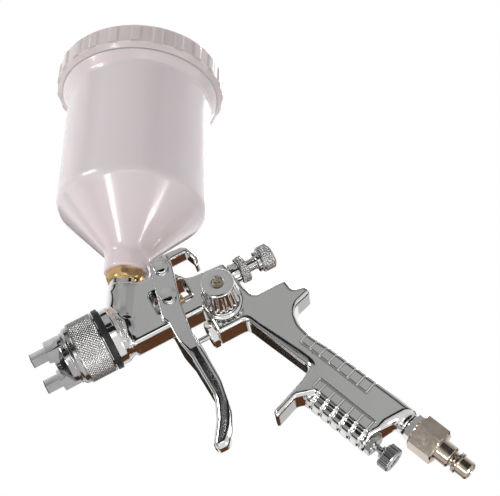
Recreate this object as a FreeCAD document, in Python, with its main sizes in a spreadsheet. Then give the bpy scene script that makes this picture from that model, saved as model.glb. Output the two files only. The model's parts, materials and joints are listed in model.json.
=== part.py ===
import FreeCAD, Part
import os
import re
import Sketcher

# HVLP gravity-feed spray gun.
# Frame: origin at the paint outlet, +X runs back along the barrel, +Z is up,
# -Y is the side that carries the fan control. Millimetres and degrees.

doc = FreeCAD.newDocument("spray_gun")
sheet = doc.addObject("Spreadsheet::Sheet", "dims")
aliases = []
pieces = []
V = FreeCAD.Vector


def dims(**values):
    """Put named dimensions in the sheet, one row each."""
    for alias, number in values.items():
        aliases.append(alias)
        row = len(aliases)
        sheet.set(f"A{row}", alias)
        sheet.set(f"B{row}", str(number))
        sheet.setAlias(f"B{row}", alias)


def table(name, points):
    """Put an outline in the sheet and return its points as pairs of aliases."""
    pairs = []
    for count, (across, up) in enumerate(points, 1):
        pair = (f"{name}_across_{count}", f"{name}_up_{count}")
        dims(**{pair[0]: across, pair[1]: up})
        pairs.append(pair)
    return pairs


def bound(expression):
    """Turn the aliases in an expression into references to the sheet."""
    def refer(word):
        return "dims." + word.group() if word.group() in aliases else word.group()
    return re.sub(r"[a-z][a-z_0-9]*", refer, expression)


def number(owner, expression):
    return float(owner.evalExpression(bound(expression)))


def bind(owner, path, expression):
    owner.setExpression(path, bound(expression))


# ------------------------------------------------------------ dimensions

# Frames
dims(square=90, cup_tilt=28.57, cup_cross_x=40.83, handle_tilt=161.05, handle_x=105,
     tube_x=85.61, tube_z=-6.66, fan_x=97.5, fan_z=-17.4, pivot_x=77.1, pivot_z=19.4, pin_x=72.8,
     pin_z=0.7, valve_z=-28.4, origin=0)

# Gun body
dims(plate_width=16.8, plate_edge=1.6, hook_width=10, tip_corner=1.2, soft_corner=2,
     round_corner=4, wide_corner=9, head_radius=17, spigot_radius=16.45, spigot_front=20,
     head_front=33.4, head_back=38, waist_radius=13, waist_x=42.5, blend_radius=9, blend_x=47,
     boss_radius=10, boss_top=31, boss_foot=4, tube_radius=6.5, tube_groove=0.6, tube_top=88,
     tube_end=127, rib_pitch=6.5, rib_start=93, neck_radius=6.6, neck_top=118, neck_end=136.5,
     window_left=63, window_right=85, window_low=-6.4, window_high=8.9, window_corner=2,
     fan_boss_radius=10.4, fan_boss_face=9.8, plate_middle=0)
BODY = table("body", [
    (43.5, -15.4), (86.6, -15.6), (86.6, -33.5), (104.0, -33.5), (119.6, -76.6),
    (112.6, -80.8), (91.2, -88.6), (90.2, -93.2), (104.7, -88.0), (114.6, -91.0),
    (126.4, -126.4), (155.2, -126.4), (151.6, -115.3), (140.7, -85.5), (135.3, -71.0),
    (130.3, -60.6), (127.9, -51.5), (128.9, -43.6), (132.2, -39.8), (143.2, -36.6),
    (141.9, -32.4), (135.0, -30.6), (134.4, -23.1), (116.5, -22.9), (113.9, -20.7),
    (111.7, -11.0), (109.9, 5.4), (87.6, 7.0), (82.2, 15.4), (82.2, 29.8),
    (72.4, 29.0), (70.6, 19.2), (61.0, 20.6), (45.3, 23.0), (44.4, 9.0)])
HOOK = table("hook", [
    (76.0, 22.0), (84.2, 22.0), (84.2, 25.2), (94.2, 25.2), (96.2, 19.0), (95.4, 13.9),
    (98.0, 14.6), (99.2, 18.1), (96.6, 27.4), (93.4, 29.8), (84.1, 30.6), (76.0, 30.2)])
dims(nozzle_bore=6.05, nozzle_bore_end=31, paint_bore=3, packing_bore=4.05, packing_seat=54,
     guide_bore=1.6, rear_bore_start=90, rear_bore=4.4, rear_bore_end=116, bush_spot=6.5,
     cup_thread_bore=6.95, cup_thread_seat=19, cup_bore=3.5, past_end=1, valve_front=86.6,
     valve_bore=3.8, valve_bore_end=121, air_bore=3.2, air_bore_top=30, inlet_bore=5.05,
     inlet_bore_top=124, regulator_bore=3.4, regulator_bore_top=108, gland_spot=6.6,
     fan_bush_bore=8, fan_bush_seat=5, fan_bore=3.2, fan_bore_end=-5, pivot_bore=2.5)

# Head
dims(gasket_front=29.9, gasket_radius=18.3, gasket_bore=16.5)
dims(distributor_bore=6.1, distributor_radius=15.6, distributor_front=17.2, distributor_rim=1.4,
     distributor_hub=9)
dims(tip_bore=0.75, tip_radius=2, tip_length=1.6, tip_land=2, shoulder_radius=5.2,
     shoulder_x=7.5, nozzle_hex=13, nozzle_hex_front=8.4, nozzle_hex_back=14, flange_radius=8.4,
     flange_back=17.2, nozzle_thread=6, nozzle_end=30.8, nozzle_inside=2.6, nozzle_throat=5)
dims(cap_hole=2.6, cap_front=0.3, cap_nose=6, cap_face_radius=9, cap_face=3, cap_body=14.4,
     cap_shoulder=7, cap_flange=16.1, cap_flange_front=11.2, cap_back=14.4, cap_inside=13,
     cap_inside_front=10.4, cap_lip=1.6, horn_turn=57, horn_base_width=14, horn_tip_width=7.4,
     horn_radius=13.2, horn_step=-1.2, horn_tip=-10.8, horn_tip_outer=11.8, horn_tip_inner=6.6,
     horn_root=5)
dims(ring_front=8.7, ring_lip_bore=14.7, ring_lip_back=10.9, ring_face_radius=15.6,
     ring_bevel_x=11.4, ring_bevel_radius=17.2, ring_knurl_x=13.6, ring_radius=18,
     ring_back=29.5, ring_bore=16.5)

# Fluid needle
dims(needle_gland=1.3, packing_front=54.2, packing_back=58, nut_bore=1.6, packing_radius=4.0,
     packing_nut_end=66, packing_nut_hex=8, packing_gap=0.1)
dims(needle_radius=1.25, needle_point=0.25, needle_front=1.3, needle_cone=6, needle_end=119,
     shoulder_front=91, shoulder_back=92.6, needle_shoulder=3.6)
dims(collar_front=76.4, collar_back=80.2, collar_radius=4.2)
dims(spring_coil=2.9, spring_wire=0.45, spring_front=93.3, spring_back=107.9, needle_turns=7)
dims(bush_front=108.8, bush_back=115.4, bush_radius=6.2, bush_thread=4.35, bush_bore=3.6,
     bush_seat=110.8)
dims(stop_front=108.4, stop_back=111.4, stop_bore=1.6, stop_radius=3.3)
dims(lock_front=115.7, lock_back=120.9, lock_radius=8, lock_bevel=0.8, knob_shaft=3.55,
     lock_bore=3.6)
dims(knob_front=111.7, knob_neck_x=127.6, knob_collar=6.2, knob_x=129.3, knob_end=137.4,
     knob_radius=7.6, knob_bevel=0.9, knob_bore_end=124)

# Trigger
dims(trigger_width=22, trigger_inside=18, trigger_edge=0.7, trigger_corner=2.4,
     trigger_top_corner=5, trigger_hole=2.55, pin_radius=3.2)
TRIGGER = table("trigger", [
    (77.6, 26.6), (71.2, 23.6), (69.9, 17.3), (63.4, -10.4), (65.3, -14.6), (65.1, -28.5),
    (66.8, -40.0), (67.4, -66.0), (63.0, -76.5), (55.0, -88.0), (56.6, -91.8), (62.2, -92.0),
    (69.2, -84.6), (74.4, -73.0), (76.4, -60.0), (76.0, -42.0), (74.4, -26.1), (76.8, -8.0),
    (80.8, 8.0), (83.4, 17.5), (82.6, 24.4)])
CHANNEL = table("channel", [
    (50.0, 30.0), (50.0, -13.2), (67.0, -16.2), (67.0, -28.5), (68.7, -40.2), (69.3, -66.4),
    (64.8, -77.3), (59.0, -86.6), (62.6, -88.6), (90.0, -88.6), (90.0, 30.0)])
dims(pivot_head=4.5, pivot_face=13.2, pivot_head_back=11.3, pivot_clip=3.9, clip_side=-11.3,
     clip_face=-12.6)
dims(pin_head=4.7, pin_face=12.9, pin_head_back=11, pin_slot_width=3.2, pin_slot_floor=-1.6,
     pin_clip_side=-11, pin_clip_face=-12.2, pin_clip_radius=4.6, pin_reach=5)

# Air valve
dims(valve_hex=13.6, valve_nut_front=82.2, valve_nut_back=86.5, valve_nut_thread=3.75,
     valve_nut_end=92, valve_stem=1.6, valve_stem_fit=1.65, stem_tip=67.5, stem_dome=0.8,
     valve_packing_end=95, valve_seat_front=97.8, valve_seat_back=99.6, valve_seat_bore=2.4,
     poppet_front=99.9, poppet_back=102.6, poppet_radius=3.4, valve_spring_front=103.1,
     valve_spring_back=120.4, valve_coil=2.9, valve_wire=0.4, valve_turns=8)

# Fan control
dims(bush_low=5.2, fan_bush_thread=7.95, fan_bush_radius=9.4, fan_bush_face=12.2,
     fan_stem_bore=2.6, oring_radius=10.2, oring_bore=7.2, oring_face=14.2, fan_bush_hub=7.2,
     fan_stem=2.55, fan_stem_low=-2, fan_stem_top=26.5, fan_stem_cone=1.2, fan_knob_base=14.8,
     fan_knob_face=30.2, fan_knob_radius=11, fan_knob_top=9.1, fan_knob_skirt=17,
     fan_screw_head=3.3, fan_screw_seat=28.6, fan_screw_face=30.5, fan_screw_shank=1.4,
     fan_screw_end=22)

# Air regulator
dims(gland_hex=11, gland_top=127.1, gland_end=130.8, gland_thread=3.35, gland_inside=122,
     regulator_stem=1.9, regulator_fit=1.95, regulator_seal_low=118.4, regulator_stem_top=112,
     regulator_taper=3, regulator_stem_end=140, air_knob_neck=3.4, air_knob_neck_top=134.6,
     air_knob_top=136.6, air_knob_end=143, air_knob_radius=6.9, air_knob_bevel=0.6)

# Air inlet
dims(collar_hex=13.4, collar_top=137.1, collar_end=141.4, inlet_thread=5, inlet_thread_top=126,
     adapter_bore=3, inlet_oring_radius=6.4, plug_hex=18, plug_hex_end=156.4, plug_barrel=6,
     plug_barrel_end=164, plug_waist=4.3, plug_waist_end=166.5, plug_ring=5.9, plug_ring_end=169,
     plug_nose=5, plug_nose_end=175.6, plug_tip=4.2, plug_tip_length=1, plug_bore=2.9)

# Paint cup
dims(fitting_thread=6.9, fitting_low=19.4, fitting_hex=21, fitting_hex_top=37, fitting_stub=7.2,
     fitting_top=47, fitting_bore=4.2, cup_neck=13.2, cup_neck_low=37, cup_neck_top=49,
     cup_socket=7.25, cup_throat=4.8, cup_throat_top=48.4, cup_cone_top=80.8, cup_radius=45.1,
     cup_wall=2.3, cup_rim=177, cup_collar=46.8, cup_collar_low=169, cup_inner_cone=81.8,
     strainer_radius=4.6, strainer_bore=3.8, strainer_low=47.2, strainer_top=66, strainer_end=1,
     lid_low=167.4, lid_edge=50, lid_chamfer=2.2, lid_radius=53.3, lid_bore=47.3, lid_plate=179.4,
     lid_top=183.8, lid_round=1.6, lid_gasket_low=177.3, lid_gasket_bore=42.5, vent_hole=2,
     vent_head=4.5, vent_top=186.8, vent_low=176.5, vent_bore=1)

doc.recompute()


# ---------------------------------------------------------------- frames
# Each frame is (rotation axis, angle, x, y, z): a piece's own +Z is turned
# onto the line that the piece is built about.

ALONG_Y = V(0, 1, 0)
ALONG_X = V(1, 0, 0)

GUN = (ALONG_Y, "origin", "origin", "origin", "origin")
BARREL = (ALONG_Y, "square", "origin", "origin", "origin")
CUP = (ALONG_Y, "cup_tilt", "cup_cross_x", "origin", "origin")
HANDLE = (ALONG_Y, "handle_tilt", "handle_x", "origin", "origin")
TUBE = (ALONG_Y, "handle_tilt", "tube_x", "origin", "tube_z")
VALVE = (ALONG_Y, "square", "origin", "origin", "valve_z")
FAN = (ALONG_X, "square", "fan_x", "origin", "fan_z")
PIVOT = (ALONG_X, "square", "pivot_x", "origin", "pivot_z")
PIN = (ALONG_X, "square", "pin_x", "origin", "pin_z")


# --------------------------------------------------------------- helpers

def piece(name, frame):
    """Start a sub-part: one body, labelled as its node, standing in its frame."""
    body = doc.addObject("PartDesign::Body", name)
    body.Label = name
    axis, angle, x, y, z = frame
    where = V(number(body, x), number(body, y), number(body, z))
    body.Placement = FreeCAD.Placement(where, FreeCAD.Rotation(axis, number(body, angle)))
    for path, expression in (("Rotation.Angle", angle), ("Base.x", x), ("Base.y", y), ("Base.z", z)):
        bind(body, "Placement." + path, expression)
    pieces.append(body)
    return body


def origin_plane(body, role):
    return [feature for feature in body.Origin.OriginFeatures if feature.Role == role][0]


def fix_point(sketch, edge, direction, expression):
    """Hold the start of an edge at a bound distance from the sketch's origin."""
    if number(sketch, expression) == 0:
        axis = -2 if direction == "DistanceX" else -1
        sketch.addConstraint(Sketcher.Constraint("PointOnObject", edge, 1, axis))
        return
    distance = number(sketch, expression)
    index = sketch.addConstraint(Sketcher.Constraint(direction, -1, 1, edge, 1, distance))
    bind(sketch, f"Constraints[{index}]", expression)


def outline(body, points, frame=None, turn_by=None):
    """A closed sketch of straight edges on the body's XZ plane."""
    sketch = body.newObject("Sketcher::SketchObject", body.Name + "_sketch")
    sketch.AttachmentSupport = [(origin_plane(body, "XZ_Plane"), "")]
    sketch.MapMode = "FlatFace"
    if frame:
        axis, angle, x, y, z = frame
        where = V(number(body, x), number(body, z), 0)
        turn = FreeCAD.Rotation(V(0, 0, 1), -number(body, angle))
        sketch.AttachmentOffset = FreeCAD.Placement(where, turn)
        bind(sketch, "AttachmentOffset.Base.x", x)
        bind(sketch, "AttachmentOffset.Base.y", z)
        bind(sketch, "AttachmentOffset.Rotation.Angle", "-" + angle)
    if turn_by:
        turn = FreeCAD.Rotation(ALONG_Y, number(body, turn_by))
        sketch.AttachmentOffset = FreeCAD.Placement(V(), turn)
        bind(sketch, "AttachmentOffset.Rotation.Angle", turn_by)
    corners = [V(number(body, across), number(body, up), 0) for across, up in points]
    count = len(corners)
    for edge in range(count):
        sketch.addGeometry(Part.LineSegment(corners[edge], corners[(edge + 1) % count]), False)
    for edge in range(count):
        sketch.addConstraint(Sketcher.Constraint("Coincident", edge, 2, (edge + 1) % count, 1))
    for edge, (across, up) in enumerate(points):
        fix_point(sketch, edge, "DistanceX", across)
        fix_point(sketch, edge, "DistanceY", up)
    return sketch


def turned(body, points, frame=None, cut=False):
    """Revolve a profile of (radius, height) points about the frame's line."""
    kind = "Groove" if cut else "Revolution"
    before = body.Shape.Volume if cut else 0
    feature = body.newObject("PartDesign::" + kind, f"{body.Name}_{kind.lower()}")
    feature.Profile = outline(body, points, frame)
    feature.ReferenceAxis = (feature.Profile[0], ["V_Axis"])
    feature.Angle = 360
    doc.recompute()
    if cut and body.Shape.Volume >= before:
        raise RuntimeError(body.Label + ": the groove cut nothing")
    return feature


def tube(inner, outer, low, high):
    """Profile of a plain ring."""
    return [(inner, low), (outer, low), (outer, high), (inner, high)]


def slab(body, points, width, cut=False, turn_by=None):
    """Pad or pocket an outline, centred on the gun's middle plane."""
    kind = "Pocket" if cut else "Pad"
    before = body.Shape.Volume if cut else 0
    feature = body.newObject("PartDesign::" + kind, f"{body.Name}_{kind.lower()}")
    feature.Profile = outline(body, points, None, turn_by)
    feature.SideType = "Symmetric"
    bind(feature, "Length", width)
    doc.recompute()
    if cut and body.Shape.Volume >= before:
        raise RuntimeError(body.Label + ": the pocket cut nothing")
    return feature


def hexagon(body, across_flats, low, high):
    """Add a hexagonal prism about the body's own axis."""
    prism = body.newObject("PartDesign::AdditivePrism", body.Name + "_hexagon")
    prism.Polygon = 6
    bind(prism, "Circumradius", f"{across_flats} / sqrt(3)")
    bind(prism, "Height", f"{high} - {low}")
    bind(prism, "Placement.Base.z", low)
    doc.recompute()
    return prism


def hole(body, radius, frame, low, high):
    """Cut a round hole about a line that lies along the gun's Y axis."""
    before = body.Shape.Volume
    drill = body.newObject("PartDesign::SubtractiveCylinder", body.Name + "_hole")
    axis, angle, x, y, z = frame
    bind(drill, "Radius", radius)
    bind(drill, "Height", f"{high} - {low}")
    drill.Placement = FreeCAD.Placement(V(), FreeCAD.Rotation(axis, number(body, angle)))
    bind(drill, "Placement.Base.x", x)
    bind(drill, "Placement.Base.y", f"-({low})")
    bind(drill, "Placement.Base.z", z)
    doc.recompute()
    if body.Shape.Volume >= before:
        raise RuntimeError(body.Label + ": the hole cut nothing")


def boss(body, radius, frame, low, high):
    """Add a round boss about a line that lies along the gun's Y axis."""
    round_boss = body.newObject("PartDesign::AdditiveCylinder", body.Name + "_boss")
    axis, angle, x, y, z = frame
    bind(round_boss, "Radius", radius)
    bind(round_boss, "Height", f"{high} - {low}")
    round_boss.Placement = FreeCAD.Placement(V(), FreeCAD.Rotation(axis, number(body, angle)))
    bind(round_boss, "Placement.Base.x", x)
    bind(round_boss, "Placement.Base.y", f"-({low})")
    bind(round_boss, "Placement.Base.z", z)
    doc.recompute()


def fillet(body, radius, wanted):
    """Round the edges of the body's tip for which wanted(edge) is true."""
    base = body.Tip
    names = [f"Edge{index}" for index, edge in enumerate(base.Shape.Edges, 1) if wanted(edge)]
    feature = body.newObject("PartDesign::Fillet", body.Name + "_fillet")
    feature.Base = (base, names)
    bind(feature, "Radius", radius)
    doc.recompute()
    if "Invalid" in feature.State:
        raise RuntimeError(f"{body.Label}: the fillet of {radius} failed")


def upright_corner(points_near):
    """Test for an edge along Y that passes through one of the given (x, z) points."""
    def wanted(edge):
        box = edge.BoundBox
        if box.YLength < 1 or box.XLength > 0.01 or box.ZLength > 0.01:
            return False
        return any(abs(box.XMin - x) < 0.1 and abs(box.ZMin - z) < 0.1 for x, z in points_near)
    return wanted


def round_corners(body, points, radii):
    """Round the corners of a padded outline; radii gives (alias, point numbers)."""
    for radius, numbers in radii:
        near = [(number(body, points[i - 1][0]), number(body, points[i - 1][1])) for i in numbers]
        fillet(body, radius, upright_corner(near))


def side_edges(half_width):
    """Test for an edge that lies on either flat side of a slab."""
    def wanted(edge):
        box = edge.BoundBox
        return box.YLength < 0.01 and abs(abs(box.YMin) - half_width) < 0.01
    return wanted


def spring(body, coil_radius, wire_radius, low, high, turns):
    """A round-wire compression spring about the body's own axis."""
    sketch = body.newObject("Sketcher::SketchObject", body.Name + "_wire")
    sketch.AttachmentSupport = [(origin_plane(body, "XZ_Plane"), "")]
    sketch.MapMode = "FlatFace"
    start = V(number(body, coil_radius), number(body, low), 0)
    sketch.addGeometry(Part.Circle(start, V(0, 0, 1), number(body, wire_radius)), False)
    for direction, expression in (("DistanceX", coil_radius), ("DistanceY", low)):
        where = number(body, expression)
        index = sketch.addConstraint(Sketcher.Constraint(direction, -1, 1, 0, 3, where))
        bind(sketch, f"Constraints[{index}]", expression)
    index = sketch.addConstraint(Sketcher.Constraint("Radius", 0, number(body, wire_radius)))
    bind(sketch, f"Constraints[{index}]", wire_radius)
    coil = body.newObject("PartDesign::AdditiveHelix", body.Name + "_coil")
    coil.Profile = sketch
    coil.ReferenceAxis = (sketch, ["V_Axis"])
    coil.Mode = "height-turns-angle"
    bind(coil, "Height", f"{high} - {low}")
    bind(coil, "Turns", turns)
    doc.recompute()


# -------------------------------------------------------------- gun body
# One chromed casting: head, cup boss, middle plate, hanging hook, handle with
# a little-finger guard, ribbed front tube and inlet neck.

gun_body = piece("gun_body", GUN)
slab(gun_body, BODY, "plate_width")
round_corners(gun_body, BODY, [
    ("tip_corner", (7, 8)),
    ("soft_corner", (2, 3, 20, 21, 23, 27, 30, 31)),
    ("round_corner", (4, 5, 6, 9, 29, 32)),
    ("wide_corner", (17, 28))])
half_plate = number(gun_body, "plate_width / 2")
fillet(gun_body, "plate_edge", side_edges(half_plate))

slab(gun_body, HOOK, "hook_width")

turned(gun_body, [("origin", "spigot_front"), ("spigot_radius", "spigot_front"),
                  ("spigot_radius", "head_front"), ("head_radius", "head_front"),
                  ("head_radius", "head_back"), ("waist_radius", "waist_x"),
                  ("blend_radius", "blend_x"), ("origin", "blend_x")], BARREL)

turned(gun_body, [("origin", "boss_foot"), ("boss_radius", "boss_foot"),
                  ("boss_radius", "boss_top"), ("origin", "boss_top")], CUP)

RIB_COUNT = 6
tube_profile = [("origin", "tube_top"), ("tube_radius", "tube_top")]
for rib in range(RIB_COUNT):
    middle = f"rib_start + rib_pitch * {rib}"
    tube_profile += [("tube_radius", middle + " - tube_groove"),
                     ("tube_radius - tube_groove", middle),
                     ("tube_radius", middle + " + tube_groove")]
tube_profile += [("tube_radius", "tube_end"), ("origin", "tube_end")]
turned(gun_body, tube_profile, TUBE)

turned(gun_body, [("origin", "neck_top"), ("neck_radius", "neck_top"),
                  ("neck_radius", "neck_end"), ("origin", "neck_end")], HANDLE)

boss(gun_body, "fan_boss_radius", FAN, "plate_middle", "fan_boss_face")

WINDOW = [("window_left + window_corner", "window_low"),
          ("window_right - window_corner", "window_low"),
          ("window_right", "window_low + window_corner"),
          ("window_right", "window_high - window_corner"),
          ("window_right - window_corner", "window_high"),
          ("window_left + window_corner", "window_high"),
          ("window_left", "window_high - window_corner"),
          ("window_left", "window_low + window_corner")]
slab(gun_body, WINDOW, "plate_width * 2", cut=True)

turned(gun_body, [("origin", "spigot_front - past_end"), ("nozzle_bore", "spigot_front - past_end"),
                  ("nozzle_bore", "nozzle_bore_end"), ("paint_bore", "nozzle_bore_end"),
                  ("paint_bore", "packing_seat"), ("packing_bore", "packing_seat"),
                  ("packing_bore", "window_left + past_end"),
                  ("origin", "window_left + past_end")], BARREL, cut=True)
turned(gun_body, [("origin", "window_right - past_end"), ("guide_bore", "window_right - past_end"),
                  ("guide_bore", "rear_bore_start"), ("rear_bore", "rear_bore_start"),
                  ("rear_bore", "bush_seat"), ("bush_spot", "bush_seat"),
                  ("bush_spot", "rear_bore_end"), ("origin", "rear_bore_end")], BARREL, cut=True)
turned(gun_body, [("origin", "origin"), ("cup_bore", "origin"), ("cup_bore", "cup_thread_seat"),
                  ("cup_thread_bore", "cup_thread_seat"),
                  ("cup_thread_bore", "boss_top + past_end"),
                  ("origin", "boss_top + past_end")], CUP, cut=True)
turned(gun_body, [("origin", "valve_front - past_end"), ("valve_bore", "valve_front - past_end"),
                  ("valve_bore", "valve_bore_end"), ("origin", "valve_bore_end")], VALVE, cut=True)
turned(gun_body, [("origin", "air_bore_top"), ("air_bore", "air_bore_top"),
                  ("air_bore", "inlet_bore_top"), ("inlet_bore", "inlet_bore_top"),
                  ("inlet_bore", "neck_end + past_end"),
                  ("origin", "neck_end + past_end")], HANDLE, cut=True)
turned(gun_body, [("origin", "regulator_bore_top"), ("regulator_bore", "regulator_bore_top"),
                  ("regulator_bore", "tube_end"), ("gland_spot", "tube_end"),
                  ("gland_spot", "gland_end + past_end"),
                  ("origin", "gland_end + past_end")], TUBE, cut=True)
hole(gun_body, "fan_bush_bore", FAN, "fan_bush_seat", "fan_boss_face + past_end")
hole(gun_body, "fan_bore", FAN, "fan_bore_end", "fan_bush_seat")
hole(gun_body, "pivot_bore", PIVOT, "-plate_width", "plate_width")

# ------------------------------------------------------------------ head
# The gasket, fluid nozzle, air distributor, air cap and its retaining ring.

head_gasket = piece("head_gasket", BARREL)
turned(head_gasket, tube("gasket_bore", "gasket_radius", "gasket_front", "head_front"))

air_distributor = piece("air_distributor", BARREL)
turned(air_distributor, [("distributor_bore", "distributor_front"),
                         ("distributor_hub", "distributor_front"),
                         ("distributor_radius", "spigot_front - distributor_rim"),
                         ("distributor_radius", "spigot_front"),
                         ("distributor_bore", "spigot_front")])

fluid_nozzle = piece("fluid_nozzle", BARREL)
hexagon(fluid_nozzle, "nozzle_hex", "nozzle_hex_front", "nozzle_hex_back")
turned(fluid_nozzle, [("origin", "origin"), ("tip_radius", "origin"), ("tip_radius", "tip_length"),
                      ("shoulder_radius", "shoulder_x"), ("shoulder_radius", "nozzle_hex_back"),
                      ("flange_radius", "nozzle_hex_back"), ("flange_radius", "flange_back"),
                      ("nozzle_thread", "flange_back"), ("nozzle_thread", "nozzle_end"),
                      ("origin", "nozzle_end")])
turned(fluid_nozzle, [("origin", "-past_end"), ("tip_bore", "-past_end"), ("tip_bore", "tip_land"),
                      ("nozzle_inside", "nozzle_throat"),
                      ("nozzle_inside", "nozzle_end + past_end"),
                      ("origin", "nozzle_end + past_end")], cut=True)

air_cap = piece("air_cap", BARREL)
turned(air_cap, [("cap_hole", "cap_front"), ("cap_nose", "cap_front"),
                 ("cap_face_radius", "cap_face"), ("cap_body - cap_front", "cap_shoulder - past_end"),
                 ("cap_body", "cap_shoulder"), ("cap_body", "cap_flange_front"),
                 ("cap_flange", "cap_flange_front"), ("cap_flange", "cap_back"),
                 ("cap_inside", "cap_back"), ("cap_inside", "cap_inside_front"),
                 ("cap_hole", "cap_lip")])
for side in (1, -1):
    base_points = [(f"{side} * horn_root", "cap_face"),
                   (f"{side} * horn_radius", "cap_shoulder + past_end"),
                   (f"{side} * horn_radius", "horn_step"),
                   (f"{side} * horn_tip_inner", "horn_step - past_end")]
    slab(air_cap, base_points, "horn_base_width", turn_by="horn_turn")
    tip_points = [(f"{side} * horn_tip_inner", "cap_front"),
                  (f"{side} * horn_tip_outer", "cap_front"),
                  (f"{side} * horn_tip_outer", "horn_tip"),
                  (f"{side} * horn_tip_inner", "horn_tip")]
    slab(air_cap, tip_points, "horn_tip_width", turn_by="horn_turn")

retaining_ring = piece("retaining_ring", BARREL)
turned(retaining_ring, [("ring_lip_bore", "ring_front"), ("ring_face_radius", "ring_front"),
                        ("ring_bevel_radius", "ring_bevel_x"), ("ring_bevel_radius", "ring_knurl_x"),
                        ("ring_radius", "ring_knurl_x"), ("ring_radius", "ring_back"),
                        ("ring_bore", "ring_back"), ("ring_bore", "ring_lip_back"),
                        ("ring_lip_bore", "ring_lip_back")])

# ---------------------------------------------------------- fluid needle
# The packing, the needle with its collar and return spring, the stop that
# limits it, the adjusting knob and the lock ring.

needle_packing = piece("needle_packing", BARREL)
turned(needle_packing, tube("needle_gland", "packing_radius", "packing_front", "packing_back"))

needle_packing_nut = piece("needle_packing_nut", BARREL)
hexagon(needle_packing_nut, "packing_nut_hex", "window_left", "packing_nut_end")
turned(needle_packing_nut, tube("nut_bore", "packing_radius", "packing_back + packing_gap",
                                "window_left"))
turned(needle_packing_nut, tube("origin", "nut_bore", "window_left - packing_nut_hex",
                                "packing_nut_end + past_end"), cut=True)

fluid_needle = piece("fluid_needle", BARREL)
turned(fluid_needle, [("origin", "needle_front"), ("needle_point", "needle_front"),
                      ("needle_radius", "needle_cone"), ("needle_radius", "shoulder_front"),
                      ("needle_shoulder", "shoulder_front"), ("needle_shoulder", "shoulder_back"),
                      ("needle_radius", "shoulder_back"), ("needle_radius", "needle_end"),
                      ("origin", "needle_end")])

needle_collar = piece("needle_collar", BARREL)
turned(needle_collar, tube("needle_radius", "collar_radius", "collar_front", "collar_back"))

needle_spring = piece("needle_spring", BARREL)
spring(needle_spring, "spring_coil", "spring_wire", "spring_front", "spring_back", "needle_turns")

fluid_bush = piece("fluid_bush", BARREL)
turned(fluid_bush, [("bush_bore", "bush_front"), ("bush_thread", "bush_front"),
                    ("bush_thread", "bush_seat"), ("bush_radius", "bush_seat"),
                    ("bush_radius", "bush_back"), ("bush_bore", "bush_back")])

needle_stop = piece("needle_stop", BARREL)
turned(needle_stop, tube("stop_bore", "stop_radius", "stop_front", "stop_back"))

fluid_lock_ring = piece("fluid_lock_ring", BARREL)
turned(fluid_lock_ring, [("lock_bore", "lock_front"), ("lock_radius - lock_bevel", "lock_front"),
                         ("lock_radius", "lock_front + lock_bevel"),
                         ("lock_radius", "lock_back - lock_bevel"),
                         ("lock_radius - lock_bevel", "lock_back"), ("lock_bore", "lock_back")])

fluid_knob = piece("fluid_knob", BARREL)
turned(fluid_knob, [("stop_bore", "knob_front"), ("knob_shaft", "knob_front"),
                    ("knob_shaft", "knob_neck_x - past_end"), ("knob_collar", "knob_neck_x"),
                    ("knob_collar", "knob_x"), ("knob_radius", "knob_x"),
                    ("knob_radius", "knob_end - knob_bevel"),
                    ("knob_radius - knob_bevel", "knob_end"), ("origin", "knob_end"),
                    ("origin", "knob_bore_end"), ("stop_bore", "knob_bore_end")])

# --------------------------------------------------------------- trigger
# A folded lever: two side plates outside the body, joined below by a web.

trigger = piece("trigger", GUN)
slab(trigger, TRIGGER, "trigger_width")
round_corners(trigger, TRIGGER, [("trigger_top_corner", (2, 21)),
                                 ("trigger_corner", (1, 4, 5, 10, 11, 12, 13))])
fillet(trigger, "trigger_edge", side_edges(number(trigger, "trigger_width / 2")))
slab(trigger, CHANNEL, "trigger_inside", cut=True)
hole(trigger, "trigger_hole", PIVOT, "-trigger_width", "trigger_width")
hole(trigger, "pin_radius", PIN, "-trigger_width", "trigger_width")

trigger_pivot_pin = piece("trigger_pivot_pin", PIVOT)
turned(trigger_pivot_pin, [("origin", "clip_face"), ("pivot_bore", "clip_face"),
                           ("pivot_bore", "pivot_head_back"), ("pivot_head", "pivot_head_back"),
                           ("pivot_head", "pivot_face"), ("origin", "pivot_face")])
pivot_clip = piece("pivot_clip", PIVOT)
turned(pivot_clip, tube("pivot_bore", "pivot_clip", "clip_face", "clip_side"))

needle_pull_pin = piece("needle_pull_pin", PIN)
turned(needle_pull_pin, [("origin", "pin_clip_face"), ("pin_radius", "pin_clip_face"),
                         ("pin_radius", "pin_head_back"), ("pin_head", "pin_head_back"),
                         ("pin_head", "pin_face"), ("origin", "pin_face")])
slot = needle_pull_pin.newObject("PartDesign::SubtractiveBox", "needle_pull_pin_slot")
bind(slot, "Length", "pin_reach * 2")
bind(slot, "Width", "pin_reach - pin_slot_floor + pin_z")
bind(slot, "Height", "pin_slot_width")
bind(slot, "Placement.Base.x", "-pin_reach")
bind(slot, "Placement.Base.y", "pin_slot_floor - pin_z")
bind(slot, "Placement.Base.z", "-pin_slot_width / 2")
doc.recompute()
pull_pin_clip = piece("pull_pin_clip", PIN)
turned(pull_pin_clip, tube("pin_radius", "pin_clip_radius", "pin_clip_face", "pin_clip_side"))

# ------------------------------------------------------------- air valve
# A push valve under the fluid needle: nut, packing, seat, stem, poppet, spring.

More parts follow.
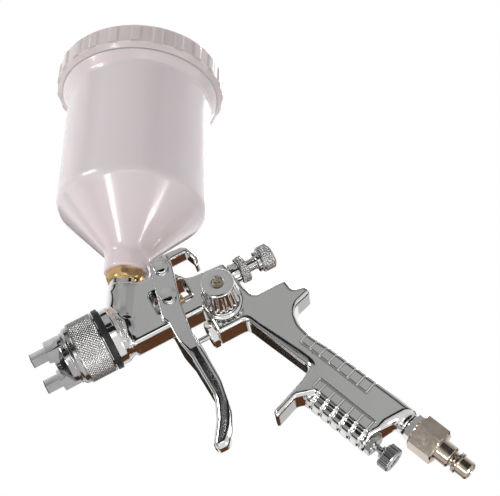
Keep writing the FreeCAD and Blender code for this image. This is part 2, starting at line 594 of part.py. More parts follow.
air_valve_nut = piece("air_valve_nut", VALVE)
hexagon(air_valve_nut, "valve_hex", "valve_nut_front", "valve_nut_back")
turned(air_valve_nut, tube("valve_stem_fit", "valve_nut_thread", "valve_nut_back", "valve_nut_end"))
turned(air_valve_nut, tube("origin", "valve_stem_fit", "valve_nut_front - past_end",
                           "valve_nut_end + past_end"), cut=True)
air_valve_packing = piece("air_valve_packing", VALVE)
turned(air_valve_packing, tube("valve_stem_fit", "valve_nut_thread", "valve_nut_end",
                               "valve_packing_end"))
air_valve_seat = piece("air_valve_seat", VALVE)
turned(air_valve_seat, tube("valve_seat_bore", "valve_nut_thread", "valve_seat_front",
                            "valve_seat_back"))
air_valve_stem = piece("air_valve_stem", VALVE)
turned(air_valve_stem, [("origin", "stem_tip"), ("valve_stem - stem_dome", "stem_tip"),
                        ("valve_stem", "stem_tip + stem_dome"), ("valve_stem", "poppet_front"),
                        ("origin", "poppet_front")])
air_valve_poppet = piece("air_valve_poppet", VALVE)
turned(air_valve_poppet, [("origin", "poppet_front"), ("valve_stem", "poppet_front"),
                          ("poppet_radius", "poppet_front + stem_dome"),
                          ("poppet_radius", "poppet_back"), ("origin", "poppet_back")])
air_valve_spring = piece("air_valve_spring", VALVE)
spring(air_valve_spring, "valve_coil", "valve_wire", "valve_spring_front", "valve_spring_back",
       "valve_turns")

# ----------------------------------------------------------- fan control
# A bush and O-ring on the side of the body, and the valve stem with its knob.

fan_bush = piece("fan_bush", FAN)
turned(fan_bush, [("fan_stem_bore", "bush_low"), ("fan_bush_thread", "bush_low"),
                  ("fan_bush_thread", "fan_boss_face"), ("fan_bush_radius", "fan_boss_face"),
                  ("fan_bush_radius", "fan_bush_face"), ("fan_bush_hub", "fan_bush_face"),
                  ("fan_bush_hub", "oring_face"), ("fan_stem_bore", "oring_face")])
fan_oring = piece("fan_oring", FAN)
turned(fan_oring, tube("oring_bore", "oring_radius", "fan_bush_face", "oring_face"))
fan_stem = piece("fan_stem", FAN)
turned(fan_stem, [("origin", "fan_stem_low"), ("fan_stem_cone", "fan_stem_low"),
                  ("fan_stem", "bush_low"), ("fan_stem", "fan_stem_top"),
                  ("origin", "fan_stem_top")])
turned(fan_stem, [("origin", "fan_screw_end"), ("fan_screw_shank", "fan_screw_end"),
                  ("fan_screw_shank", "fan_stem_top + past_end"),
                  ("origin", "fan_stem_top + past_end")], cut=True)
fan_knob = piece("fan_knob", FAN)
turned(fan_knob, [("fan_stem", "fan_knob_base"), ("fan_knob_radius", "fan_knob_base"),
                  ("fan_knob_radius", "fan_knob_skirt"), ("fan_knob_top", "fan_knob_face"),
                  ("fan_screw_head", "fan_knob_face"), ("fan_screw_head", "fan_screw_seat"),
                  ("fan_screw_shank", "fan_screw_seat"), ("fan_screw_shank", "fan_stem_top"),
                  ("fan_stem", "fan_stem_top")])
fan_knob_screw = piece("fan_knob_screw", FAN)
turned(fan_knob_screw, [("origin", "fan_screw_end"), ("fan_screw_shank", "fan_screw_end"),
                        ("fan_screw_shank", "fan_screw_seat"), ("fan_screw_head", "fan_screw_seat"),
                        ("fan_screw_head", "fan_screw_face"), ("origin", "fan_screw_face")])

# --------------------------------------------------------- air regulator
# A small needle valve in the foot of the ribbed tube.

regulator_gland = piece("regulator_gland", TUBE)
hexagon(regulator_gland, "gland_hex", "gland_top", "gland_end")
turned(regulator_gland, tube("regulator_fit", "gland_thread", "gland_inside", "gland_top"))
turned(regulator_gland, tube("origin", "regulator_fit", "gland_inside - past_end",
                             "gland_end + past_end"), cut=True)
regulator_seal = piece("regulator_seal", TUBE)
turned(regulator_seal, tube("regulator_fit", "gland_thread", "regulator_seal_low", "gland_inside"))
regulator_stem = piece("regulator_stem", TUBE)
turned(regulator_stem, [("origin", "regulator_stem_top"), ("fan_stem_cone", "regulator_stem_top"),
                        ("regulator_stem", "regulator_stem_top + regulator_taper"),
                        ("regulator_stem", "regulator_stem_end"),
                        ("origin", "regulator_stem_end")])
air_knob = piece("air_knob", TUBE)
turned(air_knob, [("regulator_stem", "air_knob_neck_top"), ("air_knob_neck", "air_knob_neck_top"),
                  ("air_knob_neck", "air_knob_top"),
                  ("air_knob_radius - air_knob_bevel", "air_knob_top"),
                  ("air_knob_radius", "air_knob_top + air_knob_bevel"),
                  ("air_knob_radius", "air_knob_end - air_knob_bevel"),
                  ("air_knob_radius - air_knob_bevel", "air_knob_end"),
                  ("origin", "air_knob_end"), ("origin", "regulator_stem_end"),
                  ("regulator_stem", "regulator_stem_end")])

# ------------------------------------------------------------- air inlet
# The chromed inlet collar, its seal and the quick plug.

inlet_oring = piece("inlet_oring", HANDLE)
turned(inlet_oring, tube("inlet_thread", "inlet_oring_radius", "neck_end", "collar_top"))
inlet_adapter = piece("inlet_adapter", HANDLE)
hexagon(inlet_adapter, "collar_hex", "collar_top", "collar_end")
turned(inlet_adapter, tube("adapter_bore", "inlet_thread", "inlet_thread_top", "collar_top"))
turned(inlet_adapter, tube("origin", "adapter_bore", "inlet_thread_top - past_end",
                           "collar_end + past_end"), cut=True)
quick_plug = piece("quick_plug", HANDLE)
hexagon(quick_plug, "plug_hex", "collar_end", "plug_hex_end")
turned(quick_plug, [("origin", "plug_hex_end"), ("plug_barrel", "plug_hex_end"),
                    ("plug_barrel", "plug_barrel_end"), ("plug_waist", "plug_barrel_end"),
                    ("plug_waist", "plug_waist_end"), ("plug_ring", "plug_waist_end"),
                    ("plug_ring", "plug_ring_end"), ("plug_nose", "plug_ring_end"),
                    ("plug_nose", "plug_nose_end - plug_tip_length"),
                    ("plug_tip", "plug_nose_end"), ("origin", "plug_nose_end")])
turned(quick_plug, tube("origin", "plug_bore", "collar_end - past_end",
                        "plug_nose_end + past_end"), cut=True)

# ------------------------------------------------------------- paint cup
# A translucent gravity cup on a brass fitting, with its strainer and lid.

cup_fitting = piece("cup_fitting", CUP)
hexagon(cup_fitting, "fitting_hex", "boss_top", "fitting_hex_top")
turned(cup_fitting, tube("fitting_bore", "fitting_thread", "fitting_low", "boss_top"))
turned(cup_fitting, tube("fitting_bore", "fitting_stub", "fitting_hex_top", "fitting_top"))
turned(cup_fitting, tube("origin", "fitting_bore", "fitting_low - past_end",
                         "fitting_top + past_end"), cut=True)

cup_body = piece("cup_body", CUP)
turned(cup_body, [("cup_socket", "cup_neck_low"), ("cup_neck", "cup_neck_low"),
                  ("cup_neck", "cup_neck_top"), ("cup_radius", "cup_cone_top"),
                  ("cup_radius", "cup_collar_low"), ("cup_collar", "cup_collar_low"),
                  ("cup_collar", "cup_rim"), ("cup_radius - cup_wall", "cup_rim"),
                  ("cup_radius - cup_wall", "cup_inner_cone"), ("cup_throat", "cup_throat_top"),
                  ("cup_throat", "fitting_top"), ("cup_socket", "fitting_top")])

cup_strainer = piece("cup_strainer", CUP)
turned(cup_strainer, [("strainer_bore", "strainer_low"), ("strainer_radius", "strainer_low"),
                      ("strainer_radius", "strainer_top"), ("origin", "strainer_top"),
                      ("origin", "strainer_top - strainer_end"),
                      ("strainer_bore", "strainer_top - strainer_end")])

cup_lid = piece("cup_lid", CUP)
turned(cup_lid, [("lid_bore", "lid_low"), ("lid_edge", "lid_low"),
                 ("lid_radius", "lid_low + lid_chamfer"), ("lid_radius", "lid_top - lid_round"),
                 ("lid_radius - lid_round", "lid_top"),
                 ("vent_hole", "lid_top"), ("vent_hole", "lid_plate"), ("lid_bore", "lid_plate")])

lid_gasket = piece("lid_gasket", CUP)
turned(lid_gasket, tube("lid_gasket_bore", "lid_bore", "lid_gasket_low", "lid_plate"))

lid_vent = piece("lid_vent", CUP)
turned(lid_vent, [("vent_bore", "vent_low"), ("vent_hole", "vent_low"), ("vent_hole", "lid_top"),
                  ("vent_head", "lid_top"), ("vent_head", "vent_top"), ("vent_bore", "vent_top")])


# ------------------------------------------------------ check and export

doc.recompute()
for made in doc.Objects:
    if "Invalid" in made.State or "Error" in made.State:
        raise RuntimeError(f"{made.Label} failed: {made.State}")
for body in pieces:
    if body.Shape.isNull() or not body.Shape.isValid() or len(body.Shape.Solids) != 1:
        raise RuntimeError(f"{body.Label} is not one valid solid")

os.makedirs("parts", exist_ok=True)
for body in pieces:
    body.Shape.exportStep(f"parts/{body.Label}.step")
    print(f"{body.Label}: {body.Shape.Volume:.0f} cubic mm")
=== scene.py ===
import bmesh
import bpy
import json
import math
import numpy as np
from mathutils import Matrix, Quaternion, Vector


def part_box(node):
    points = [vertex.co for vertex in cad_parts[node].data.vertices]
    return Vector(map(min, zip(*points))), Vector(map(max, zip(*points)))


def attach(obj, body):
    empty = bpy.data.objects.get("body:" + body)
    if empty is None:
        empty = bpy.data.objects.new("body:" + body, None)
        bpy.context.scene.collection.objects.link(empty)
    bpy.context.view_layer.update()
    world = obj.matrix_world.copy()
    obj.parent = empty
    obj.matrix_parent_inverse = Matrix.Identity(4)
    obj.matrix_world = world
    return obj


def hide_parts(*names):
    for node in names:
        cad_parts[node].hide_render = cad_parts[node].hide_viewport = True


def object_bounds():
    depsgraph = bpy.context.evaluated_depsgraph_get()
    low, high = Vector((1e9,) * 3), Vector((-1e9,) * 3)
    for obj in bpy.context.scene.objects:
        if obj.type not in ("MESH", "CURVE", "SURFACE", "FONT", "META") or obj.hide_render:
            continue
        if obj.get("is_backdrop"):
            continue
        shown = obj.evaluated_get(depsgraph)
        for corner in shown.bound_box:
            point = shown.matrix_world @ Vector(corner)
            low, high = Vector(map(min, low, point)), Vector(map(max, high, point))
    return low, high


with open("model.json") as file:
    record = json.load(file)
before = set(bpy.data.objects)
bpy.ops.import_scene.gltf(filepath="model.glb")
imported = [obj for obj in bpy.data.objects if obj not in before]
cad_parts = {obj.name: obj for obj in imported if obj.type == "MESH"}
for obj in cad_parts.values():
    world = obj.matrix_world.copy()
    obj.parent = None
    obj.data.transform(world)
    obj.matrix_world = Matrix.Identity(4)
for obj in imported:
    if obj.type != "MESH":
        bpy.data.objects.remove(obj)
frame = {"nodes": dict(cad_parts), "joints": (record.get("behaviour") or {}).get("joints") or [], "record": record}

# The visual model of the spray gun, over its CAD frame. Lengths are metres, so a
# size in millimetres is multiplied by MM; the distance fields work in millimetres.

MM = 0.001
NODES = frame["nodes"]
RECORD = frame["record"]
JOINTS = {joint["name"]: joint for joint in frame["joints"]}
MOUNTS = {mount["name"]: mount for mount in RECORD["mounts"]}
BODY_OF = {node: body for body, nodes in RECORD["behaviour"]["bodies"].items() for node in nodes}
SLOT_OF = {part["node"]: part["material_slot"] for part in RECORD["subparts"]}
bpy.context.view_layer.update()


# ------------------------------------------------------------------ lines
# Every turned piece is built about a line: a point, an axis and two sides.

class Line:
    """A straight line, with stations along it and turns about it."""

    def __init__(self, point, axis):
        self.point = Vector(point)
        self.axis = Vector(axis).normalized()
        self.side = self.axis.cross(Vector((0, 1, 0)))
        if self.side.length < 0.1:
            self.side = self.axis.cross(Vector((1, 0, 0)))
        self.side.normalize()
        self.other = self.axis.cross(self.side)

    def at(self, radius, turn, along):
        """The place at a radius, a turn and a station."""
        around = self.side * math.cos(turn) + self.other * math.sin(turn)
        return self.point + self.axis * along + around * radius

    def span(self, node):
        """Lowest and highest station of a CAD node on this line, and its largest radius."""
        low, high, widest = 1.0, -1.0, 0.0
        for vertex in NODES[node].data.vertices:
            offset = vertex.co - self.point
            along = offset.dot(self.axis)
            low = min(low, along)
            high = max(high, along)
            widest = max(widest, (offset - self.axis * along).length)
        return low, high, widest


def middle(node):
    """The centre of a CAD node's box."""
    low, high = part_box(node)
    return (Vector(low) + Vector(high)) / 2


BARREL = Line(MOUNTS["spray_outlet"]["pos_m"], (1, 0, 0))
CUP = Line(middle("lid_gasket"), JOINTS["cup_lift"]["axis"])
INLET = Line(MOUNTS["air_inlet"]["pos_m"], MOUNTS["air_inlet"]["axis"])
TUBE = Line(JOINTS["air_knob_turn"]["pos_m"], JOINTS["air_knob_turn"]["axis"])
FAN = Line(JOINTS["fan_knob_turn"]["pos_m"], JOINTS["fan_knob_turn"]["axis"])
VALVE = Line(middle("air_valve_stem"), (1, 0, 0))
PIVOT = Line(JOINTS["trigger_pull"]["pos_m"], JOINTS["trigger_pull"]["axis"])
PULL = Line(middle("pull_pin_clip"), (0, -1, 0))


# -------------------------------------------------------------- materials

def new_material(name, color, metallic, roughness):
    """A material with its node tree and its shader, ready for detail."""
    material = bpy.data.materials.new(name)
    material.use_nodes = True
    nodes = material.node_tree.nodes
    shader = nodes["Principled BSDF"]
    shader.inputs["Base Color"].default_value = (*color, 1)
    shader.inputs["Metallic"].default_value = metallic
    shader.inputs["Roughness"].default_value = roughness
    return material, material.node_tree, shader


def noise(tree, scale, detail):
    """Noise in the object's own space."""
    place = tree.nodes.new("ShaderNodeTexCoord")
    texture = tree.nodes.new("ShaderNodeTexNoise")
    texture.inputs["Scale"].default_value = scale
    texture.inputs["Detail"].default_value = detail
    tree.links.new(place.outputs["Object"], texture.inputs["Vector"])
    return texture.outputs["Fac"]


def map_range(tree, source, from_low, from_high, to_low=0.0, to_high=1.0):
    """A number spread from one range to another."""
    spread = tree.nodes.new("ShaderNodeMapRange")
    spread.inputs["From Min"].default_value = from_low
    spread.inputs["From Max"].default_value = from_high
    spread.inputs["To Min"].default_value = to_low
    spread.inputs["To Max"].default_value = to_high
    tree.links.new(source, spread.inputs["Value"])
    return spread.outputs["Result"]


def vary(tree, source, socket, low, high):
    """Drive a number socket between two values from a noise."""
    tree.links.new(map_range(tree, source, 0.3, 0.7, low, high), socket)


def tint(tree, source, socket, dark, light):
    """Drive a colour socket between two colours from a noise."""
    ramp = tree.nodes.new("ShaderNodeValToRGB")
    ramp.color_ramp.elements[0].position = 0.3
    ramp.color_ramp.elements[0].color = (*dark, 1)
    ramp.color_ramp.elements[1].position = 0.7
    ramp.color_ramp.elements[1].color = (*light, 1)
    tree.links.new(source, ramp.inputs["Fac"])
    tree.links.new(ramp.outputs["Color"], socket)


def bump(tree, shader, source, strength, distance):
    """Raise a surface a little by a noise; the distance is in metres."""
    node = tree.nodes.new("ShaderNodeBump")
    node.inputs["Strength"].default_value = strength
    node.inputs["Distance"].default_value = distance
    tree.links.new(source, node.inputs["Height"])
    tree.links.new(node.outputs["Normal"], shader.inputs["Normal"])


def chrome(name, color, rough_low, rough_high, wobble):
    """Polished plate: a near mirror with soft polishing marks and a slight wave."""
    material, tree, shader = new_material(name, color, 1.0, rough_low)
    vary(tree, noise(tree, 90, 5), shader.inputs["Roughness"], rough_low, rough_high)
    dark = tuple(channel * 0.96 for channel in color)
    tint(tree, noise(tree, 25, 3), shader.inputs["Base Color"], dark, color)
    bump(tree, shader, noise(tree, 60, 2), wobble, 0.0004)
    return material


def turned_metal(name, color, roughness, grain):
    """Satin turned metal: fine tool marks and uneven brightness."""
    material, tree, shader = new_material(name, color, 1.0, roughness)
    vary(tree, noise(tree, 400, 6), shader.inputs["Roughness"], roughness * 0.75, roughness * 1.25)
    dark = tuple(channel * 0.82 for channel in color)
    tint(tree, noise(tree, 140, 5), shader.inputs["Base Color"], dark, color)
    bump(tree, shader, noise(tree, 2200, 3), grain, 0.00005)
    return material


def soft_solid(name, color, roughness, grain):
    """Rubber, nylon and foam: matt, with a fine moulded grain."""
    material, tree, shader = new_material(name, color, 0.0, roughness)
    vary(tree, noise(tree, 500, 5), shader.inputs["Roughness"], roughness * 0.85, roughness * 1.1)
    dark = tuple(channel * 0.75 for channel in color)
    tint(tree, noise(tree, 220, 4), shader.inputs["Base Color"], dark, color)
    bump(tree, shader, noise(tree, 1500, 4), grain, 0.0001)
    return material


def milky_plastic(name, color, depth, roughness):
    """Blow-moulded polyethylene: milky, glossy, lit from inside, faintly orange-peeled."""
    material, tree, shader = new_material(name, color, 0.0, roughness)
    shader.inputs["Subsurface Weight"].default_value = 0.75
    shader.inputs["Subsurface Radius"].default_value = (1.0, 0.72, 0.68)
    shader.inputs["Subsurface Scale"].default_value = depth
    shader.inputs["IOR"].default_value = 1.5
    shader.inputs["Coat Weight"].default_value = 0.5
    shader.inputs["Coat Roughness"].default_value = 0.06
    dark = tuple(channel * 0.985 for channel in color)
    tint(tree, noise(tree, 9, 1), shader.inputs["Base Color"], dark, color)
    vary(tree, noise(tree, 30, 2), shader.inputs["Roughness"], roughness * 0.95, roughness * 1.08)
    bump(tree, shader, noise(tree, 60, 1), 0.03, 0.0002)
    return material


def machined_cap(name, color, painted_shade_color, face_station):
    """Turned and milled plate whose front faces, before a station, carry painted shade: a near-black colour."""
    material, tree, shader = new_material(name, color, 1.0, 0.12)
    vary(tree, noise(tree, 300, 5), shader.inputs["Roughness"], 0.09, 0.18)
    place = tree.nodes.new("ShaderNodeTexCoord")
    split = tree.nodes.new("ShaderNodeSeparateXYZ")
    blend = tree.nodes.new("ShaderNodeMix")
    blend.data_type = "RGBA"
    # Painted shade: the front faces before the station take this near-black colour.
    blend.inputs["A"].default_value = (*painted_shade_color, 1)
    dark = tuple(channel * 0.85 for channel in color)
    tint(tree, noise(tree, 160, 4), blend.inputs["B"], dark, color)
    tree.links.new(place.outputs["Object"], split.inputs["Vector"])
    edge = map_range(tree, split.outputs["X"], face_station, face_station + 0.3 * MM)
    tree.links.new(edge, blend.inputs["Factor"])
    tree.links.new(blend.outputs["Result"], shader.inputs["Base Color"])
    bump(tree, shader, noise(tree, 1400, 3), 0.08, 0.00005)
    return material


# The air cap's front faces, before CAP_FACE, are coloured near black as painted shade.
CAP_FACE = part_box("air_cap")[0][0] + 0.35 * MM
MATERIALS = {
    "cap_plate": machined_cap("cap_plate", (0.47, 0.47, 0.48), (0.07, 0.06, 0.05), CAP_FACE),
    "screw_zinc": turned_metal("screw_zinc", (0.74, 0.66, 0.52), 0.34, 0.10),
    "chrome_casting": chrome("chrome_casting", (0.80, 0.795, 0.785), 0.075, 0.13, 0.10),
    "chrome_plate": chrome("chrome_plate", (0.83, 0.825, 0.815), 0.05, 0.10, 0.04),
    "trigger_chrome": chrome("trigger_chrome", (0.80, 0.80, 0.795), 0.09, 0.15, 0.08),
    "satin_steel": turned_metal("satin_steel", (0.60, 0.60, 0.595), 0.15, 0.08),
    "knurled_steel": turned_metal("knurled_steel", (0.54, 0.54, 0.535), 0.17, 0.05),
    "spring_steel": turned_metal("spring_steel", (0.50, 0.50, 0.50), 0.30, 0.15),
    "brass": turned_metal("brass", (0.93, 0.64, 0.31), 0.36, 0.10),
    "nickel_plug": turned_metal("nickel_plug", (0.63, 0.54, 0.46), 0.20, 0.10),
    "black_rubber": soft_solid("black_rubber", (0.012, 0.013, 0.014), 0.48, 0.12),
    "white_ptfe": soft_solid("white_ptfe", (0.82, 0.81, 0.78), 0.42, 0.08),
    "lid_foam": soft_solid("lid_foam", (0.86, 0.85, 0.83), 0.65, 0.3),
    "cup_plastic": milky_plastic("cup_plastic", (0.86, 0.755, 0.775), 0.004, 0.22),
    "lid_plastic": milky_plastic("lid_plastic", (0.74, 0.67, 0.67), 0.004, 0.26),
}

# The record's slots, with a closer look for three pieces.
LOOK_OF = {**SLOT_OF, "air_cap": "cap_plate", "fan_knob_screw": "screw_zinc",
           "retaining_ring": "knurled_steel"}

for node, made in NODES.items():
    made.data.materials.clear()
    made.data.materials.append(MATERIALS[LOOK_OF[node]])
    made.data.shade_smooth()
    made.data.set_sharp_from_angle(angle=math.radians(28))


# ---------------------------------------------------------- mesh builders

def finish_piece(name, mesh, nodes, sharp=32):
    """Link a mesh as a piece that stands for CAD nodes and rides with them."""
    made = bpy.data.objects.new(name, mesh)
    bpy.context.scene.collection.objects.link(made)
    mesh.shade_smooth()
    if sharp:
        mesh.set_sharp_from_angle(angle=math.radians(sharp))
    mesh.materials.append(MATERIALS[LOOK_OF[nodes[0]]])
    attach(made, BODY_OF[nodes[0]])
    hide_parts(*nodes)


def softened(profile, radius, closed):
    """Round the corners of a (radius, along) profile with short arcs."""
    count = len(profile)
    out = []
    for index, (r, a) in enumerate(profile):
        if not closed and index in (0, count - 1):
            out.append((r, a))
            continue
        here = Vector((r, a))
        before = Vector(profile[index - 1]) - here
        after = Vector(profile[(index + 1) % count]) - here
        if before.length < 1e-7 or after.length < 1e-7 or before.angle(after) > 3.0:
            out.append((r, a))
            continue
        reach = min(radius, before.length * 0.45, after.length * 0.45)
        first = here + before.normalized() * reach
        last = here + after.normalized() * reach
        for step in range(4):
            share = step / 3
            point = first.lerp(here, share).lerp(here.lerp(last, share), share)
            out.append((point.x, point.y))
    return out


def spun_mesh(name, line, profile, closed=True, segments=96, shape=None, soft=0.0003):
    """A turned mesh. shape(turn, radius, along) may change the radius round the piece."""
    rings = softened(profile, soft, closed) if soft else profile
    mesh = bpy.data.meshes.new(name)
    bm = bmesh.new()
    grid = []
    for radius, along in rings:
        if radius < 1e-6:
            grid.append([bm.verts.new(line.at(0, 0, along))] * segments)
            continue
        row = []
        for step in range(segments):
            turn = step * math.tau / segments
            wide = shape(turn, radius, along) if shape else radius
            row.append(bm.verts.new(line.at(wide, turn, along)))
        grid.append(row)
    pairs = list(zip(grid, grid[1:] + grid[:1])) if closed else list(zip(grid, grid[1:]))
    for low, high in pairs:
        for step in range(segments):
            following = (step + 1) % segments
            corners = [low[step], low[following], high[following], high[step]]
            unique = list(dict.fromkeys(corners))
            if len(unique) > 2:
                bm.faces.new(unique)
    bmesh.ops.recalc_face_normals(bm, faces=bm.faces)
    bm.to_mesh(mesh)
    bm.free()
    return mesh


def spun(name, line, profile, nodes, sharp=32, **options):
    """A turned piece that stands for CAD nodes."""
    finish_piece(name, spun_mesh(name, line, profile, **options), nodes, sharp)


def steps(low, high, count):
    """Even steps from low to high, with both ends."""
    return [low + (high - low) * index / count for index in range(count + 1)]


def tooth(phase):
    """Triangle wave from 0 in the root to 1 on the crest."""
    return 1 - abs(2 * (phase % 1.0) - 1)


def diamond_knurl(teeth, low, high, depth, size):
    """Crossed helical grooves between two stations, fading at both ends."""
    def shape(turn, radius, along):
        if along <= low or along >= high or radius < size:
            return radius
        lead = (along - low) / (math.tau * size / teeth)
        first = tooth(turn / math.tau * teeth + lead)
        second = tooth(turn / math.tau * teeth - lead)
        fade = min(1, (along - low) / (depth * 2), (high - along) / (depth * 2))
        return radius - depth * fade * (1 - min(1, min(first, second) * 1.5))
    return shape


def hexagon(across_flats):
    """Cut a turned profile back to six flats; its chamfers stay as arcs on the flats."""
    def shape(turn, radius, along):
        facing = (turn + math.pi / 6) % (math.pi / 3) - math.pi / 6
        return min(radius, across_flats / 2 / math.cos(facing))
    return shape


# ------------------------------------------------------------- solid field
# The casting and the trigger are shaped as smooth solids: a distance field
# blends their forms as a polished casting does, and a fine mesh is drawn onto it.

def rounded_outline(points, radii, arc_steps=6):
    """Polygon of an outline with its corners rounded, in millimetres.

    radii gives corner numbers, from 1, their own radius, and "all" the rest.
    """
    out = []
    count = len(points)
    for index in range(count):
        here = np.array(points[index], float)
        before = np.array(points[index - 1], float) - here
        after = np.array(points[(index + 1) % count], float) - here
        radius = radii.get(index + 1, radii["all"])
        unit_before = before / np.linalg.norm(before)
        unit_after = after / np.linalg.norm(after)
        half = math.acos(np.clip(unit_before @ unit_after, -1, 1)) / 2
        reach = radius / math.tan(half)
        reach = min(reach, 0.48 * np.linalg.norm(before), 0.48 * np.linalg.norm(after))
        for step in range(arc_steps + 1):
            share = step / arc_steps
            first = here + unit_before * reach * (1 - share)
            last = here + unit_after * reach * share
            out.append(first + (last - first) * share)
    return np.array(out)


def polygon_distance(outline, across, height):
    """Signed distance from points to a closed outline, negative inside."""
    nearest = np.full(across.shape, 1e9)
    sign = np.ones(across.shape)
    start = outline
    end = np.roll(outline, -1, axis=0)
    for (ax, az), (bx, bz) in zip(start, end):
        ex, ez = bx - ax, bz - az
        wx, wz = across - ax, height - az
        share = np.clip((wx * ex + wz * ez) / (ex * ex + ez * ez + 1e-12), 0, 1)
        nearest = np.minimum(nearest, (wx - ex * share) ** 2 + (wz - ez * share) ** 2)
        above = height >= az
        below = height < bz
        left = ex * wz > ez * wx
        flip = (above & below & left) | (~above & ~below & ~left)
        sign = np.where(flip, -sign, sign)
    return sign * np.sqrt(nearest)


def rounded_meet(first, second, rounding):
    """The inside of two surfaces at once, with the edge between them rounded."""
    first = first + rounding
    second = second + rounding
    outside = np.sqrt(np.maximum(first, 0) ** 2 + np.maximum(second, 0) ** 2)
    return np.minimum(np.maximum(first, second), 0) + outside - rounding


def slab_field(flat, y, half, rounding):
    """A flat outline given thickness, with rounded edges."""
    return rounded_meet(flat, np.abs(y) - half, rounding)


def rod_field(points, line, radius, low, high, rounding):
    """A round rod about a line between two stations, all in millimetres."""
    offset = points - np.array(line.point) / MM
    along = offset @ np.array(line.axis)
    around = np.sqrt(np.maximum((offset ** 2).sum(1) - along ** 2, 0))
    return rounded_meet(around - radius, np.abs(along - (low + high) / 2) - (high - low) / 2, rounding)


def join(first, second, blend):
    """Union with a fillet of about the given size."""
    mix = np.clip(0.5 + 0.5 * (second - first) / blend, 0, 1)
    return second + (first - second) * mix - blend * mix * (1 - mix)


def cut(solid, tool, blend):
    """Difference with a fillet of about the given size."""
    return -join(-solid, tool, blend)


SETTLE_ROUNDS = 8
LAST_ROUNDS = 3


def field_mesh(name, node, field, voxel):
    """Draw a fine even mesh of a CAD node onto the zero of a distance field."""
    mesh = NODES[node].data.copy()
    mesh.name = name
    mesh.materials.clear()
    helper = bpy.data.objects.new(name + "_helper", mesh)
    bpy.context.scene.collection.objects.link(helper)
    remesh = helper.modifiers.new("even", "REMESH")
    remesh.mode = "VOXEL"
    remesh.voxel_size = voxel * MM
    depsgraph = bpy.context.evaluated_depsgraph_get()
    even = bpy.data.meshes.new_from_object(helper.evaluated_get(depsgraph))
    bpy.data.objects.remove(helper)
    even.name = name
    count = len(even.vertices)
    points = np.empty(count * 3)
    even.vertices.foreach_get("co", points)
    points = points.reshape(-1, 3) / MM
    edges = np.empty(len(even.edges) * 2, int)
    even.edges.foreach_get("vertices", edges)
    edges = edges.reshape(-1, 2)
    neighbours = np.bincount(edges.ravel(), minlength=count).astype(float)
    for turn in range(SETTLE_ROUNDS):
        if turn < SETTLE_ROUNDS - LAST_ROUNDS:
            total = np.zeros_like(points)
            np.add.at(total, edges[:, 0], points[edges[:, 1]])
            np.add.at(total, edges[:, 1], points[edges[:, 0]])
            points = points * 0.5 + total / neighbours[:, None] * 0.5
        points = onto_field(points, field)
    even.vertices.foreach_set("co", (points * MM).ravel())
    even.update()
    return even


def gradient(points, field, reach=0.02):
    """Slope of a field at each point, by small steps to both sides."""
    slope = np.empty_like(points)
    for axis in range(3):
        shift = np.zeros(3)
        shift[axis] = reach
        slope[:, axis] = (field(points + shift) - field(points - shift)) / (2 * reach)
    return slope


def onto_field(points, field):
    """Step each point towards the field's zero, by less than a voxel."""
    value = field(points)
    slope = gradient(points, field)
    size = np.maximum((slope ** 2).sum(1), 0.05)
    step = np.clip(value / size, -0.8, 0.8)
    return points - slope * step[:, None]


# --------------------------------------------------------------- gun body
# Outlines repeat the CAD model's own points, in millimetres on the X-Z plane.

BODY = rounded_outline([
    (43.5, -15.4), (86.6, -15.6), (86.6, -33.5), (104.0, -33.5), (119.6, -76.6),
    (112.6, -80.8), (91.2, -88.6), (90.2, -93.2), (104.7, -88.0), (114.6, -91.0),
    (126.4, -126.4), (155.2, -126.4), (151.6, -115.3), (140.7, -85.5), (135.3, -71.0),
    (130.3, -60.6), (127.9, -51.5), (128.9, -43.6), (132.2, -39.8), (143.2, -36.6),
    (141.9, -32.4), (135.0, -30.6), (134.4, -23.1), (116.5, -22.9), (113.9, -20.7),
    (111.7, -11.0), (109.9, 5.4), (87.6, 7.0), (82.2, 15.4), (82.2, 29.8),
    (72.4, 29.0), (70.6, 19.2), (61.0, 20.6), (45.3, 23.0), (44.4, 9.0)],
    {"all": 12, 1: 0.5, 2: 1.5, 3: 1.5, 4: 4, 5: 4, 6: 5, 7: 1.2, 8: 1.6, 9: 4, 10: 0.5, 11: 0.5,
     12: 1, 13: 8, 20: 2.2, 21: 2, 22: 3, 23: 1.5, 24: 3, 25: 3, 27: 2.4, 28: 8, 29: 4, 30: 2,
     31: 2, 32: 4, 33: 3, 34: 0.5, 35: 2})
HOOK = rounded_outline([
    (76.0, 22.0), (84.2, 22.0), (84.2, 25.2), (94.2, 25.2), (96.2, 19.0), (95.4, 13.9),
    (98.0, 14.6), (99.2, 18.1), (96.6, 27.4), (93.4, 29.8), (84.1, 30.6), (76.0, 30.2)],
    {"all": 1.5, 3: 0.8, 4: 1.2, 5: 4, 6: 0.8, 7: 0.8, 9: 3, 10: 3, 11: 4})
WINDOW = rounded_outline([(63, -6.4), (85, -6.4), (85, 8.9), (63, 8.9)], {"all": 2.6})
HEAD = np.array([(19.9, -5), (19.9, 16.45), (33.4, 16.45), (33.4, 17), (38.0, 17), (40.6, 15.2),
                 (44.5, 9), (46, 4), (46, -5)])
HALF_PLATE = 8.4
HALF_HOOK = 5.0
FITTING_SHANK = 11.6
BOSS_TOP = CUP.span("cup_fitting")[0] / MM + FITTING_SHANK
NECK_END = INLET.span("inlet_oring")[0] / MM
TUBE_END = -12.5
FAN_FACE = FAN.span("fan_bush")[0] / MM + 4.6

HANDLE_ACROSS = Vector((-INLET.axis.z, 0, INLET.axis.x))
HANDLE_ZERO = Vector((105, 0, 0))


def handle_place(points):
    """Distance down the handle and across it towards the back, in millimetres."""
    offset = points - np.array(HANDLE_ZERO)
    return offset @ np.array(INLET.axis), offset @ np.array(HANDLE_ACROSS)


def line_distance(down, across, start, end):
    """Distance to a straight line's nearest point between its ends."""
    ex, ez = end[0] - start[0], end[1] - start[1]
    wx, wz = down - start[0], across - start[1]
    share = np.clip((wx * ex + wz * ez) / (ex * ex + ez * ez), 0, 1)
    return np.hypot(wx - ex * share, wz - ez * share)


